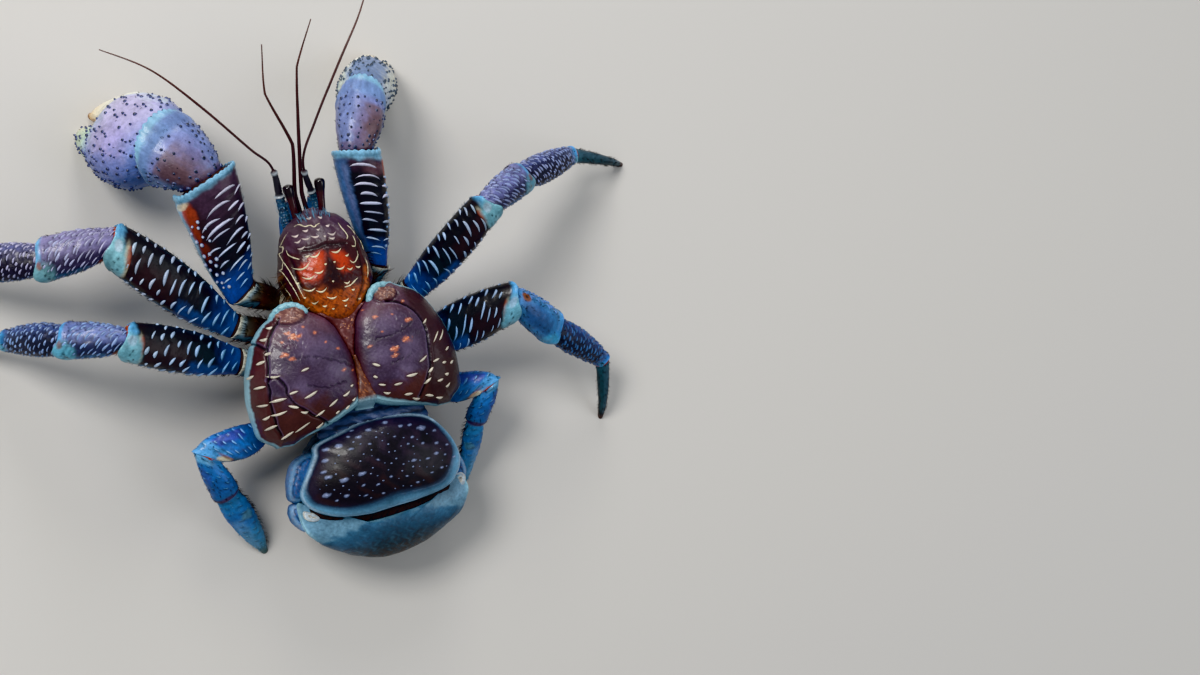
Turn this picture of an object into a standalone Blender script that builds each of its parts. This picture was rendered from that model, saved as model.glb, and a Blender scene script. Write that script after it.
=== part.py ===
# Coconut crab, life size, standing still on flat ground
# Sizes are in millimetres until a mesh is made. +Y is to the head, +X to the animal's right, +Z up.
import math

import bmesh
import bpy
from mathutils import Vector

mm = 0.001
touching_gap = 0.3
body_offset = Vector((3.55, -17.05, 0.0))

# Heights above the ground: foot of the back's plates, then the tops and edges of the plates
plate_foot = 40.0
shield_crown = 80.0
shield_rear_edge = 71.0
shield_side_edge = 48.0
gill_crown = 81.0
gill_inner_height = 71.0
heart_crown = 71.0
heart_edge = 68.5
abdomen_crown = 70.0
saddle_edge = 57.0
rear_plate_crown = 52.0
rear_plate_edge = 44.0
band_crown = 60.0
band_edge = 52.0

# Head shield: half widths along the midline, from the rear point to the beak between the eyes
shield_rear = 0.0
shield_length = 64.0
shield_half_widths = (0.0, 13.0, 20.5, 24.5, 25.5, 25.0, 23.5, 21.5, 19.5, 14.0, 2.5)

# Gill covers: distance from the midline of the inner and outer edges, from front to rear
gill_front = 14.0
gill_rear = -60.5
gill_inner_edge = (27.0, 16.0, 8.6, 5.6, 2.8, 1.0, 0.6, 0.6, 1.2, 15.5, 42.0)
gill_outer_edge = (31.0, 43.5, 49.8, 53.6, 56.6, 58.6, 59.8, 60.0, 59.4, 58.0, 50.0)
gill_undercut = 0.86

# Heart plate: the wedge between the gill covers
heart_front = 7.0
heart_rear = -20.0

# Abdomen seen from above: a round sac with plates on its back
waist = -57.0
abdomen_centre = Vector((4.0, -95.5))
abdomen_half_size = Vector((45.0, 42.0))
abdomen_squareness = 2.2
abdomen_floor = 9.0
abdomen_foot = 34.0
saddle_centre = Vector((6.0, -84.0))
saddle_half_size = Vector((45.0, 25.5))
saddle_squareness = 2.7
rear_plate_centre = Vector((4.0, -112.0))
rear_plate_half_size = Vector((46.0, 26.5))
rear_plate_squareness = 2.3
band_centre = Vector((6.0, -60.0))
band_half_size = Vector((31.0, 12.0))
fan_centre = Vector((3.0, -103.0))
fan_half_size = Vector((21.0, 19.0))
last_plate_front = -117.0
abdomen_turn = math.radians(-5.0)

# Soft lobes at the abdomen's sides: centre, half sizes and turn
side_lobes = {
    "pleuron_left_front": ((-37.5, -84.0), (9.0, 10.0, 9.0), 0.3),
    "pleuron_left_rear": ((-40.0, -104.0), (8.0, 9.0, 8.0), -0.3),
    "pleuron_right_rear": ((48.0, -98.0), (7.0, 11.0, 9.0), 0.2),
}

# Where a claw's palm steps in to its fingers, as a share of its length
knuckle = 0.62
palm_squareness = 2.3

# Limbs: heading 0 is straight out to the side and 90 is to the head; rise is above level
claw_left = {
    "hip": (-27.0, 20.0, 30.0),
    "ischium": {"length": 20.5, "heading": 24, "rise": 18, "widths": (13, 15, 15), "depth": 0.95},
    "merus": {"length": 69.0, "heading": 82, "rise": 24, "widths": (17, 27, 33, 36.5), "depth": 0.68},
    "carpus": {"length": 24.0, "heading": 56, "rise": -10, "widths": (23, 35, 41), "depth": 0.78},
    "palm": {"length": 72.0, "heading": 43, "rise": -54, "width": 55.0, "thickness": 38.0, "roll": 0},
}
claw_right = {
    "hip": (22.0, 16.0, 28.0),
    "ischium": {"length": 17.0, "heading": 38, "rise": 20, "widths": (13, 15, 14), "depth": 0.95},
    "merus": {"length": 69.5, "heading": 93, "rise": 26, "widths": (11, 19.5, 25, 26), "depth": 0.86},
    "carpus": {"length": 28.5, "heading": 66, "rise": -16, "widths": (18, 25, 27), "depth": 0.92},
    "palm": {"length": 74.0, "heading": 44, "rise": -53, "width": 32.0, "thickness": 29.0, "roll": 0},
}
walk1_left = {
    "hip": (-31.0, 1.0, 26.0),
    "ischium": {"length": 24.0, "heading": 24, "rise": 10, "widths": (14, 15, 14), "depth": 1.0},
    "merus": {"length": 89.0, "heading": 45, "rise": 25, "widths": (14, 24, 27, 23.5), "depth": 0.66},
    "carpus": {"length": 36.0, "heading": 1, "rise": -16, "widths": (16, 22, 23.5), "depth": 0.78},
    "propodus": {"length": 53.0, "heading": 11, "rise": -35, "widths": (16, 20, 17.5, 13), "depth": 0.8},
    "dactyl": {"length": 40.0, "heading": -2, "rise": -44, "widths": (10, 8, 5.5, 3), "depth": 0.85},
}
walk2_left = {
    "hip": (-33.0, -18.0, 26.0),
    "ischium": {"length": 25.0, "heading": 22, "rise": 12, "widths": (15, 16, 15), "depth": 1.0},
    "merus": {"length": 74.0, "heading": 23, "rise": 29, "widths": (15, 22, 24, 21), "depth": 0.7},
    "carpus": {"length": 31.0, "heading": 16, "rise": -21, "widths": (14, 18.5, 20), "depth": 0.85},
    "propodus": {"length": 43.0, "heading": 16, "rise": -46, "widths": (15, 18, 15.5, 11.5), "depth": 0.8},
    "dactyl": {"length": 34.0, "heading": 10, "rise": -50, "widths": (9, 7.5, 5, 3), "depth": 0.85},
}
walk1_right = {
    "hip": (31.0, -1.0, 27.0),
    "ischium": {"length": 22.5, "heading": 20, "rise": 14, "widths": (15, 16, 15), "depth": 1.0},
    "merus": {"length": 72.0, "heading": 41, "rise": 41, "widths": (15, 20, 21, 19), "depth": 0.85},
    "carpus": {"length": 35.5, "heading": 22, "rise": -31, "widths": (14, 18, 19), "depth": 0.9},
    "propodus": {"length": 59.0, "heading": 10, "rise": -35, "widths": (14, 17, 15, 10.5), "depth": 0.85},
    "dactyl": {"length": 50.0, "heading": -15, "rise": -34, "widths": (8.5, 7, 5, 3), "depth": 0.85},
}
walk2_right = {
    "hip": (30.0, -23.0, 26.0),
    "ischium": {"length": 21.0, "heading": 0, "rise": 3, "widths": (15, 16, 15), "depth": 1.0},
    "merus": {"length": 63.5, "heading": 11, "rise": 41, "widths": (17, 26, 26.5, 22), "depth": 0.72},
    "carpus": {"length": 33.5, "heading": -41, "rise": -27, "widths": (15, 19, 20), "depth": 0.9},
    "propodus": {"length": 54.0, "heading": -38, "rise": -32, "widths": (14, 16.5, 14, 9.5), "depth": 0.85},
    "dactyl": {"length": 46.0, "heading": -92, "rise": -36, "widths": (8, 7, 5, 3), "depth": 0.85},
}
small_left = {
    "hip": (-31.0, -46.0, 26.0),
    "ischium": {"length": 21.0, "heading": -12, "rise": 10, "widths": (12, 13, 12), "depth": 1.0},
    "merus": {"length": 36.5, "heading": -8, "rise": 16, "widths": (13, 18, 19, 12), "depth": 0.75},
    "carpus": {"length": 26.0, "heading": -105, "rise": -24, "widths": (11, 15, 15.5), "depth": 0.8},
    "hand": {"length": 54.0, "heading": -113, "rise": -34, "widths": (13, 16, 14, 10, 4), "depth": 0.6},
}
small_right = {
    "hip": (33.0, -48.0, 26.0),
    "ischium": {"length": 21.0, "heading": -10, "rise": 12, "widths": (12, 13, 12), "depth": 1.0},
    "merus": {"length": 28.5, "heading": -15, "rise": 28, "widths": (13, 17, 17.5, 11), "depth": 0.75},
    "carpus": {"length": 22.0, "heading": -116, "rise": -30, "widths": (10, 13, 12.5), "depth": 0.85},
    "hand": {"length": 49.0, "heading": -105, "rise": -39, "widths": (10, 11.5, 9.5, 7, 4), "depth": 0.7},
}
walking_legs = {
    "walk1_left": walk1_left,
    "walk2_left": walk2_left,
    "walk1_right": walk1_right,
    "walk2_right": walk2_right,
}
small_legs = {"small_left": small_left, "small_right": small_right}
claws = {"claw_left": claw_left, "claw_right": claw_right}

# Feelers: points along each one, from root to tip, each with the feeler's radius there
antennule_left_route = (
    (-3.0, 57.0, 45.5, 1.5), (-4.5, 74.0, 50.0, 1.1), (-3.0, 99.0, 69.0, 0.9),
    (-14.5, 126.5, 87.0, 0.6), (-11.5, 151.0, 96.0, 0.3),
)
antennule_right_route = (
    (1.0, 57.0, 45.5, 1.5), (-0.8, 74.0, 51.0, 1.1), (1.4, 106.0, 73.0, 0.9),
    (5.0, 136.5, 91.0, 0.6), (16.5, 158.5, 101.0, 0.3),
)
antenna_left_route = (
    (-12.0, 54.0, 45.5, 3.4), (-13.0, 72.0, 48.5, 2.9), (-15.5, 90.0, 60.0, 1.4), (-26.0, 102.0, 66.0, 0.85),
    (-48.0, 128.5, 76.0, 0.7), (-69.0, 151.5, 80.0, 0.5), (-91.0, 168.0, 73.0, 0.3),
)
antenna_right_route = (
    (8.5, 54.0, 45.0, 3.2), (5.8, 70.0, 47.5, 2.4), (1.0, 89.0, 66.0, 1.3), (11.5, 108.5, 74.0, 0.85),
    (30.5, 136.5, 84.0, 0.7), (45.0, 156.5, 88.0, 0.5), (55.0, 173.0, 88.0, 0.3),
)

colours = {
    "shield": ((0.20, 0.075, 0.07, 1.0), 0.35),
    "gill": ((0.16, 0.075, 0.11, 1.0), 0.3),
    "heart": ((0.32, 0.13, 0.08, 1.0), 0.35),
    "underside": ((0.55, 0.50, 0.44, 1.0), 0.55),
    "abdomen_skin": ((0.10, 0.13, 0.20, 1.0), 0.5),
    "abdomen_plate": ((0.06, 0.08, 0.17, 1.0), 0.3),
    "leg": ((0.09, 0.10, 0.22, 1.0), 0.35),
    "claw": ((0.30, 0.30, 0.46, 1.0), 0.4),
    "blue": ((0.07, 0.22, 0.48, 1.0), 0.35),
    "feeler": ((0.14, 0.05, 0.045, 1.0), 0.4),
    "eye": ((0.05, 0.008, 0.01, 1.0), 0.12),
}


def clear_scene():
    for thing in list(bpy.data.objects):
        bpy.data.objects.remove(thing, do_unlink=True)


def make_material(name):
    colour, roughness = colours[name]
    material = bpy.data.materials.new(name)
    material.use_nodes = True
    shader = material.node_tree.nodes["Principled BSDF"]
    shader.inputs["Base Color"].default_value = colour
    shader.inputs["Roughness"].default_value = roughness
    shader.inputs["Metallic"].default_value = 0.0
    return material


def smooth_through(values, position):
    # Catmull-Rom curve through evenly spaced values; position runs from 0 to 1
    last = len(values) - 1
    place = min(max(position, 0.0), 1.0) * last
    index = min(int(place), last - 1)
    t = place - index
    before = values[max(index - 1, 0)]
    start = values[index]
    end = values[index + 1]
    after = values[min(index + 2, last)]
    bend = (before * 2 - start * 5 + end * 4 - after) * t
    cubic = (start * 3 - end * 3 + after - before) * t * t
    return start + ((end - before) + bend + cubic) * t * 0.5


def add_part(name, shape, material, root):
    mesh = bpy.data.meshes.new(name)
    bmesh.ops.triangulate(shape, faces=shape.faces)
    bmesh.ops.recalc_face_normals(shape, faces=shape.faces)
    shape.to_mesh(mesh)
    shape.free()
    mesh.materials.append(material)
    mesh.shade_smooth()
    mesh.set_sharp_from_angle(angle=math.radians(35))
    part = bpy.data.objects.new(name, mesh)
    root.users_collection[0].objects.link(part)
    part.parent = root
    return part


def loft(rings):
    shape = bmesh.new()
    rows = [[shape.verts.new(point * mm) for point in ring] for ring in rings]
    count = len(rows[0])
    for lower, upper in zip(rows, rows[1:]):
        for here in range(count):
            there = (here + 1) % count
            shape.faces.new((lower[here], lower[there], upper[there], upper[here]))
    shape.faces.new(list(reversed(rows[0])))
    shape.faces.new(rows[-1])
    return shape


def signed_power(value, power):
    return math.copysign(abs(value) ** power, value)


def direction(side, heading, rise):
    level = math.cos(math.radians(rise))
    across = side * level * math.cos(math.radians(heading))
    along = level * math.sin(math.radians(heading))
    return Vector((across, along, math.sin(math.radians(rise))))


def across_axis(axis, roll):
    # Level and upward directions square to a limb piece's axis, turned by its roll
    level = axis.cross(Vector((0, 0, 1))).normalized()
    upward = level.cross(axis).normalized()
    turn = math.radians(roll)
    wide = level * math.cos(turn) + upward * math.sin(turn)
    deep = upward * math.cos(turn) - level * math.sin(turn)
    return wide, deep


def reach_plane(point, axis, plane_point, normal):
    # How far along the axis a point has to move to lie in a plane
    return (plane_point - point).dot(normal) / axis.dot(normal)


def limb_piece(start, end, start_plane, end_plane, stations, roll=0.0, points=12):
    # Rings of fibres that run from one joint plane to the next; a station is
    # (place, width, depth, shift sideways, shift up, ridge on the upper side, squareness)
    axis = (end - start).normalized()
    length = (end - start).length
    wide, deep = across_axis(axis, roll)
    rings = []
    for place, width, depth, sideways, upward, ridge, squareness in stations:
        ring = []
        for step in range(points):
            angle = math.tau * (step + 0.5) / points
            across = signed_power(math.cos(angle), 2 / squareness)
            above = signed_power(math.sin(angle), 2 / squareness)
            raised = 1.0 + ridge * max(0.0, above + 0.3)
            offset = wide * (sideways + across * width / 2 * raised)
            offset += deep * (upward + above * depth / 2 * raised)
            foot = start + offset
            head = end + offset
            first = reach_plane(foot, axis, *start_plane)
            last = length + reach_plane(head, axis, *end_plane)
            ring.append(foot + axis * (first + (last - first) * place))
        rings.append(ring)
    return loft(rings)


def smooth_stations(widths, depth, count, ridge=0.0, bow=0.0, squareness=2.4):
    stations = []
    for step in range(count):
        place = step / (count - 1)
        width = smooth_through(widths, place)
        raised = ridge if step % 2 == 1 and 0 < step < count - 1 else 0.0
        upward = bow * math.sin(math.pi * place)
        stations.append((place, width, width * depth, 0.0, upward, raised, squareness))
    return stations


def limb_points(limb, side, names):
    points = [Vector(limb["hip"])]
    for name in names:
        piece = limb[name]
        step = direction(side, piece["heading"], piece["rise"]) * piece["length"]
        points.append(points[-1] + step)
    # The last piece is stretched or shortened to end on the ground
    last = points[-1] - points[-2]
    points[-1] = points[-2] + last * (points[-2].z / -last.z)
    return points


def joint_planes(points):
    # The mitre plane at each joint, with half the gap on either side of it
    directions = [(after - before).normalized() for before, after in zip(points, points[1:])]
    planes = []
    for index, point in enumerate(points):
        if index == 0:
            normal = directions[0]
        elif index == len(points) - 1:
            normal = Vector((0, 0, -1))
        else:
            normal = (directions[index - 1] + directions[index]).normalized()
        planes.append((point, normal))
    return planes


def end_side(plane, is_last):
    point, normal = plane
    return (point, normal) if is_last else (point - normal * touching_gap / 2, normal)


def start_side(plane):
    point, normal = plane
    return (point + normal * touching_gap / 2, normal)


def build_walking_leg(name, leg, materials, root):
    side = -1 if name.endswith("left") else 1
    pieces = ("ischium", "merus", "carpus", "propodus", "dactyl")
    points = limb_points(leg, side, pieces)
    planes = joint_planes(points)
    counts = {"ischium": 3, "merus": 13, "carpus": 7, "propodus": 8, "dactyl": 6}
    ridges = {"ischium": 0.0, "merus": 0.07, "carpus": 0.03, "propodus": 0.03, "dactyl": 0.0}
    bows = {"ischium": 0.0, "merus": 3.0, "carpus": 1.5, "propodus": 1.5, "dactyl": 3.0}
    parts = {}
    for index, piece in enumerate(pieces):
        size = leg[piece]
        stations = smooth_stations(size["widths"], size["depth"], counts[piece], ridges[piece], bows[piece])
        last = index == len(pieces) - 1
        around = 12 if piece == "merus" else 10
        shape = limb_piece(points[index], points[index + 1], start_side(planes[index]),
                           end_side(planes[index + 1], last), stations, 0.0, around)
        material = materials["underside" if piece == "ischium" else "leg"]
        parts[piece] = add_part(name + "_" + piece, shape, material, root)
    return parts


def build_small_leg(name, leg, materials, root):
    side = -1 if name.endswith("left") else 1
    pieces = ("ischium", "merus", "carpus", "hand")
    points = limb_points(leg, side, pieces)
    planes = joint_planes(points)
    counts = {"ischium": 3, "merus": 7, "carpus": 5, "hand": 8}
    parts = {}
    for index, piece in enumerate(pieces):
        size = leg[piece]
        stations = smooth_stations(size["widths"], size["depth"], counts[piece], 0.0, 1.0)
        last = index == len(pieces) - 1
        around = 12 if piece == "merus" else 10
        shape = limb_piece(points[index], points[index + 1], start_side(planes[index]),
                           end_side(planes[index + 1], last), stations, 0.0, around)
        material = materials["underside"] if piece == "ischium" else materials["blue"]
        parts[piece] = add_part(name + "_" + piece, shape, material, root)
    return parts


def palm_stations(size):
    # The palm swells from the wrist, then steps in to the fixed finger at the outer side
    width = size["width"]
    thick = size["thickness"]
    outer = -0.2 * width
    swell = ((0.0, 0.46, 0.62), (0.07, 0.68, 0.82), (0.16, 0.86, 0.95), (0.28, 0.98, 1.0),
             (0.42, 1.0, 0.98), (0.54, 0.93, 0.88), (knuckle, 0.84, 0.76))
    finger = ((0.0, 0.38, 0.6), (0.28, 0.35, 0.52), (0.55, 0.28, 0.42), (0.8, 0.19, 0.28), (1.0, 0.08, 0.12))
    stations = []
    for place, wide, deep in swell:
        stations.append((place, width * wide, thick * deep, 0.0, 0.0, 0.0, palm_squareness))
    for along, wide, deep in finger:
        place = knuckle + 0.002 + (0.998 - knuckle) * along
        sideways = outer * (1 - 0.45 * along)
        stations.append((place, width * wide, thick * deep, sideways, 0.0, 0.0, palm_squareness))
    return stations


def finger_stations(size, length):
    # The moving finger starts at the step of the palm and closes on the fixed finger
    width = size["width"]
    thick = size["thickness"]
    inner = 0.22 * width
    first = knuckle + 0.002 + touching_gap * 1.3 / length
    shape = ((0.0, 0.36, 0.58), (0.15, 0.38, 0.58), (0.35, 0.34, 0.5),
             (0.6, 0.26, 0.38), (0.82, 0.17, 0.26), (1.0, 0.08, 0.12))
    stations = []
    for along, wide, deep in shape:
        place = first + (1 - first) * along
        sideways = inner * (1 - 0.5 * along ** 1.6)
        stations.append((place, width * wide, thick * deep, sideways, 0.0, 0.0, palm_squareness))
    return stations


def build_claw(name, claw, materials, root):
    side = -1 if name.endswith("left") else 1
    pieces = ("ischium", "merus", "carpus", "palm")
    points = limb_points(claw, side, pieces)
    planes = joint_planes(points)
    counts = {"ischium": 3, "merus": 15, "carpus": 8}
    ridges = {"ischium": 0.0, "merus": 0.05, "carpus": 0.03}
    parts = {}
    for index, piece in enumerate(pieces[:3]):
        size = claw[piece]
        stations = smooth_stations(size["widths"], size["depth"], counts[piece], ridges[piece], 1.5)
        shape = limb_piece(points[index], points[index + 1], start_side(planes[index]),
                           end_side(planes[index + 1], False), stations)
        material = materials["underside"] if piece == "ischium" else materials["claw"]
        parts[piece] = add_part(name + "_" + piece, shape, material, root)
    palm = claw["palm"]
    wrist = points[3]
    tip = points[4]
    ground = (tip, Vector((0, 0, -1)))
    roll = palm["roll"] if side < 0 else 180 - palm["roll"]
    shape = limb_piece(wrist, tip, start_side(planes[3]), ground, palm_stations(palm), roll)
    parts["palm"] = add_part(name + "_palm", shape, materials["claw"], root)
    length = (tip - wrist).length
    shape = limb_piece(wrist, tip, start_side(planes[3]), ground, finger_stations(palm, length), roll)
    parts["finger"] = add_part(name + "_finger", shape, materials["claw"], root)
    return parts


def scaled_ring(outline, anchor, scale, height):
    ring = []
    for x, y in outline:
        place = Vector((anchor[0] + (x - anchor[0]) * scale, anchor[1] + (y - anchor[1]) * scale, 0.0))
        place.z = height(place.x, place.y)
        ring.append(place)
    return ring


def pillow(outline, centre, inner_anchor, crown, rim, foot, undercut, levels=6, fullness=0.75):
    # A plate as rings of its outline, from its flat foot out to its rim and up over its dome
    def flank(x, y):
        return foot(x, y) * 0.4 + rim(x, y) * 0.6

    rings = [
        scaled_ring(outline, inner_anchor, undercut, foot),
        scaled_ring(outline, inner_anchor, (1 + undercut) / 2, flank),
        scaled_ring(outline, inner_anchor, 1.0, rim),
    ]
    for level in range(1, levels + 1):
        lift = math.radians(90 * level / levels)
        scale = max(math.cos(lift) ** fullness, 0.06)
        raised = math.sin(lift) ** fullness
        ring = []
        for x, y in outline:
            edge = rim(x, y)
            place = Vector((centre[0] + (x - centre[0]) * scale, centre[1] + (y - centre[1]) * scale, 0.0))
            place.z = edge + (crown(place.x, place.y) - edge) * raised
            ring.append(place)
        rings.append(ring)
    return loft(rings)


def shield_outline(points=15):
    right = []
    for step in range(points):
        place = step / (points - 1)
        y = shield_rear + shield_length * (1 - math.cos(math.pi * place)) / 2
        x = smooth_through(shield_half_widths, (y - shield_rear) / shield_length)
        right.append((max(x, 0.0), y))
    left = [(-x, y) for x, y in reversed(right) if x > 0.5]
    return right + left


def shield_top(x, y):
    along = (y - shield_rear) / shield_length
    return shield_crown - 3.5 * (1 - along) ** 3 - 17.0 * along ** 3


def shield_rim(x, y):
    along = (y - shield_rear) / shield_length
    drop = shield_rear_edge - shield_side_edge
    return shield_rear_edge - drop * min(along * 2.5, 1.0) + 7.0 * along ** 4


def gill_edge(half_widths, side, points=12):
    edge = []
    for step in range(points):
        place = (1 - math.cos(math.pi * step / (points - 1))) / 2
        y = gill_front + (gill_rear - gill_front) * place
        edge.append((side * smooth_through(half_widths, place), y))
    return edge


def gill_outline(side):
    return gill_edge(gill_inner_edge, side) + list(reversed(gill_edge(gill_outer_edge, side)))


def gill_top(x, y):
    return gill_crown - 0.0035 * (abs(x) - 22.0) ** 2 - 0.0025 * (y + 22.0) ** 2


def gill_rim(x, y):
    away = min(abs(x) / 60.0, 1.0)
    rearward = max(0.0, (-y - 25.0) / 35.0)
    return gill_inner_height - 21.0 * away ** 1.6 - 9.0 * rearward ** 2 * (1 - away * 0.4)


def flat_foot(x, y):
    return plate_foot


def heart_outline():
    edge = gill_edge(gill_inner_edge, 1)
    right = [(x - 1.5 * touching_gap, y) for x, y in edge if heart_rear < y < heart_front]
    left = [(-x, y) for x, y in reversed(right)]
    return right + left


def heart_top(x, y):
    return heart_crown


def heart_rim(x, y):
    return heart_edge


def turned_oval(centre, half_size, points, squareness, first=0.0, last=360.0, grown=0.0):
    # Points round an oval, or along a part of it, turned with the abdomen
    closed = last - first >= 360.0
    steps = points if closed else points - 1
    outline = []
    for step in range(points):
        angle = math.radians(first + (last - first) * step / steps)
        x = (half_size.x + grown) * signed_power(math.cos(angle), 2 / squareness)
        y = (half_size.y + grown) * signed_power(math.sin(angle), 2 / squareness)
        across = x * math.cos(abdomen_turn) - y * math.sin(abdomen_turn)
        along = x * math.sin(abdomen_turn) + y * math.cos(abdomen_turn)
        outline.append((centre.x + across, centre.y + along))
    return outline


def rear_plate_outline():
    # The rear plate runs round the back of the abdomen and fits the saddle's rear edge
    back = turned_oval(rear_plate_centre, rear_plate_half_size, 17, rear_plate_squareness, 168.0, 372.0)
    front = turned_oval(saddle_centre, saddle_half_size, 13, saddle_squareness, 332.0, 208.0,
                        1.5 * touching_gap)
    return back + front


def saddle_top(x, y):
    return abdomen_crown - 0.004 * (x - 4.0) ** 2 - 0.006 * (y + 82.0) ** 2


def saddle_rim(x, y):
    away = (x - 4.0) / 46.0
    return saddle_edge - 8.0 * away ** 2 - 0.004 * (y + 82.0) ** 2


def abdomen_plate_foot(x, y):
    return abdomen_foot


def fan_top(x, y):
    return abdomen_floor - touching_gap


def fan_rim(x, y):
    return abdomen_floor - 2.2


def fan_foot(x, y):
    return 3.0


def rear_top(x, y):
    away = (y + 108.0) / 31.0
    return rear_plate_crown - 10.0 * min(away, 0.0) ** 2 - 0.004 * (x - 4.0) ** 2


def rear_rim(x, y):
    away = (y + 108.0) / 31.0
    across = (x - 4.0) / 46.0
    return rear_plate_edge - 8.0 * min(away, 0.0) ** 2 - 3.0 * min(across ** 2, 1.0)


def band_top(x, y):
    return band_crown - 0.004 * (x - 4.0) ** 2


def band_rim(x, y):
    return band_edge - 0.003 * (x - 4.0) ** 2


def build_thorax(materials, root):
    # The trunk under the plates: a keel of sections from the waist to the mouth, flat on top
    half_widths = (36.0, 41.0, 41.0, 38.0, 33.0, 26.0, 19.0, 14.0, 9.0)
    bottoms = (24.0, 19.0, 17.0, 17.0, 17.0, 18.0, 20.0, 24.0, 30.0)
    front = 61.0
    top = plate_foot - touching_gap
    rings = []
    for step in range(11):
        place = step / 10
        half = smooth_through(half_widths, place)
        low = smooth_through(bottoms, place)
        ring = [Vector((half * 0.94, 0, top)), Vector((-half * 0.94, 0, top))]
        for turn in range(9):
            angle = math.radians(180 + 22.5 * turn)
            x = half * signed_power(math.cos(angle), 0.75) * (1 + 0.35 * math.sin(angle))
            z = top - 6.0 + (top - 6.0 - low) * signed_power(math.sin(angle), 0.75)
            ring.append(Vector((x, 0, z)))
        for point in ring:
            point.y = waist + (front - waist) * place
        rings.append(ring)
    return add_part("thorax_under", loft(rings), materials["underside"], root)


def abdomen_sac():
    # The soft abdomen under its plates, flat on top and rounded down to its floor
    levels = ((0.62, 0.0), (0.8, 0.05), (0.93, 0.2), (0.99, 0.45), (1.0, 0.7), (0.985, 1.0))
    top = abdomen_foot - touching_gap
    rings = []
    for scale, lift in levels:
        height = abdomen_floor + (top - abdomen_floor) * lift
        outline = turned_oval(abdomen_centre, abdomen_half_size * scale, 28, abdomen_squareness)
        rings.append([Vector((x, y, height)) for x, y in outline])
    return loft(rings)


def cut_across(shape, y, keep_front):
    # Cut a shape at a plane across the body and keep the part in front of it or behind it
    normal = Vector((0, -1, 0)) if keep_front else Vector((0, 1, 0))
    everything = list(shape.verts) + list(shape.edges) + list(shape.faces)
    cut = bmesh.ops.bisect_plane(shape, geom=everything, plane_co=Vector((0, y, 0)) * mm, plane_no=normal,
                                 clear_outer=True, dist=1e-7)
    edges = [item for item in cut["geom_cut"] if isinstance(item, bmesh.types.BMEdge)]
    bmesh.ops.holes_fill(shape, edges=edges)
    return shape


def side_lobe(centre, half_size, turn, points=12, levels=5):
    # A rounded lobe that hangs from under the plates: a bowl of rings with a flat top
    rings = []
    for level in range(levels):
        angle = math.radians(-75 + 75 * level / (levels - 1))
        ring = []
        for step in range(points):
            around = math.tau * step / points
            x = half_size[0] * math.cos(angle) * math.cos(around)
            y = half_size[1] * math.cos(angle) * math.sin(around)
            across = x * math.cos(turn) - y * math.sin(turn)
            along = x * math.sin(turn) + y * math.cos(turn)
            height = abdomen_foot - touching_gap + half_size[2] * math.sin(angle)
            ring.append(Vector((centre[0] + across, centre[1] + along, height)))
        rings.append(ring)
    return loft(rings)


def build_eye(name, side, materials, root):
    # A short stalk that leans forward and widens to a round cornea
    start = Vector((side * 7.5, 59.0, 51.0))
    end = Vector((side * 9.2, 79.0, 57.5))
    radii = (1.9, 1.9, 2.0, 2.2, 2.5, 2.7, 2.3, 1.1)
    places = (0.0, 0.25, 0.45, 0.6, 0.72, 0.84, 0.94, 1.0)
    stations = [(place, radius * 2, radius * 2, 0.0, 0.0, 0.0, 2.0) for place, radius in zip(places, radii)]
    axis = (end - start).normalized()
    shape = limb_piece(start, end, (start, axis), (end, axis), stations)
    return add_part(name, shape, materials["eye"], root)


def build_maxilliped(name, side, materials, root):
    start = Vector((side * 9.0, 44.0, 22.0))
    end = Vector((side * 7.5, 72.0, 33.0))
    stations = smooth_stations((10.0, 9.5, 8.0, 4.0), 0.85, 6, 0.0, -3.0)
    axis = (end - start).normalized()
    shape = limb_piece(start, end, (start, axis), (end, axis), stations)
    return add_part(name, shape, materials["blue"], root)


def build_feeler(name, route, materials, root, count=17):
    # A tapering tube on a smooth line through the points of its route
    places = [Vector(point[:3]) for point in route]
    radii = [point[3] for point in route]
    curve = bpy.data.curves.new(name, "CURVE")
    curve.dimensions = "3D"
    curve.bevel_depth = mm
    curve.bevel_resolution = 2
    curve.use_fill_caps = True
    spline = curve.splines.new("POLY")
    spline.points.add(count - 1)
    for index, point in enumerate(spline.points):
        place = index / (count - 1)
        position = smooth_through(places, place) * mm
        point.co = (position.x, position.y, position.z, 1.0)
        point.radius = smooth_through(radii, place)
    curve.materials.append(materials["feeler"])
    guide = bpy.data.objects.new(name + "_line", curve)
    root.users_collection[0].objects.link(guide)
    graph = bpy.context.evaluated_depsgraph_get()
    mesh = bpy.data.meshes.new_from_object(guide.evaluated_get(graph))
    shape = bmesh.new()
    shape.from_mesh(mesh)
    bmesh.ops.remove_doubles(shape, verts=shape.verts, dist=0.00001)
    bpy.data.objects.remove(guide, do_unlink=True)
    return add_part(name, shape, materials["feeler"], root)


def swollen_copy(part, gap, cutters):
    # The part's shape grown by the gap, to cut its neighbour clear
    shape = bmesh.new()
    shape.from_mesh(part.data)
    shape.normal_update()
    moves = [vert.normal * min(vert.calc_shell_factor(), 2.0) * gap * mm for vert in shape.verts]
    for vert, move in zip(shape.verts, moves):
        vert.co += move
    mesh = bpy.data.meshes.new(part.name + "_clearance")
    shape.to_mesh(mesh)
    shape.free()
    cutter = bpy.data.objects.new(mesh.name, mesh)
    cutters.objects.link(cutter)
    cutter.parent = part.parent
    cutter.hide_render = True
    cutter.display_type = "WIRE"
    return cutter


def largest_piece(shape):
    unseen = set(shape.faces)
    best = set()
    while unseen:
        start = unseen.pop()
        group = {start}
        front = [start]
        while front:
            face = front.pop()
            for edge in face.edges:
                for other in edge.link_faces:
                    if other in unseen:
                        unseen.discard(other)
                        group.add(other)
                        front.append(other)
        if len(group) > len(best):
            best = group
    bmesh.ops.delete(shape, geom=[face for face in shape.faces if face not in best], context="FACES")
    bmesh.ops.delete(shape, geom=[vert for vert in shape.verts if not vert.link_faces], context="VERTS")


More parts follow.
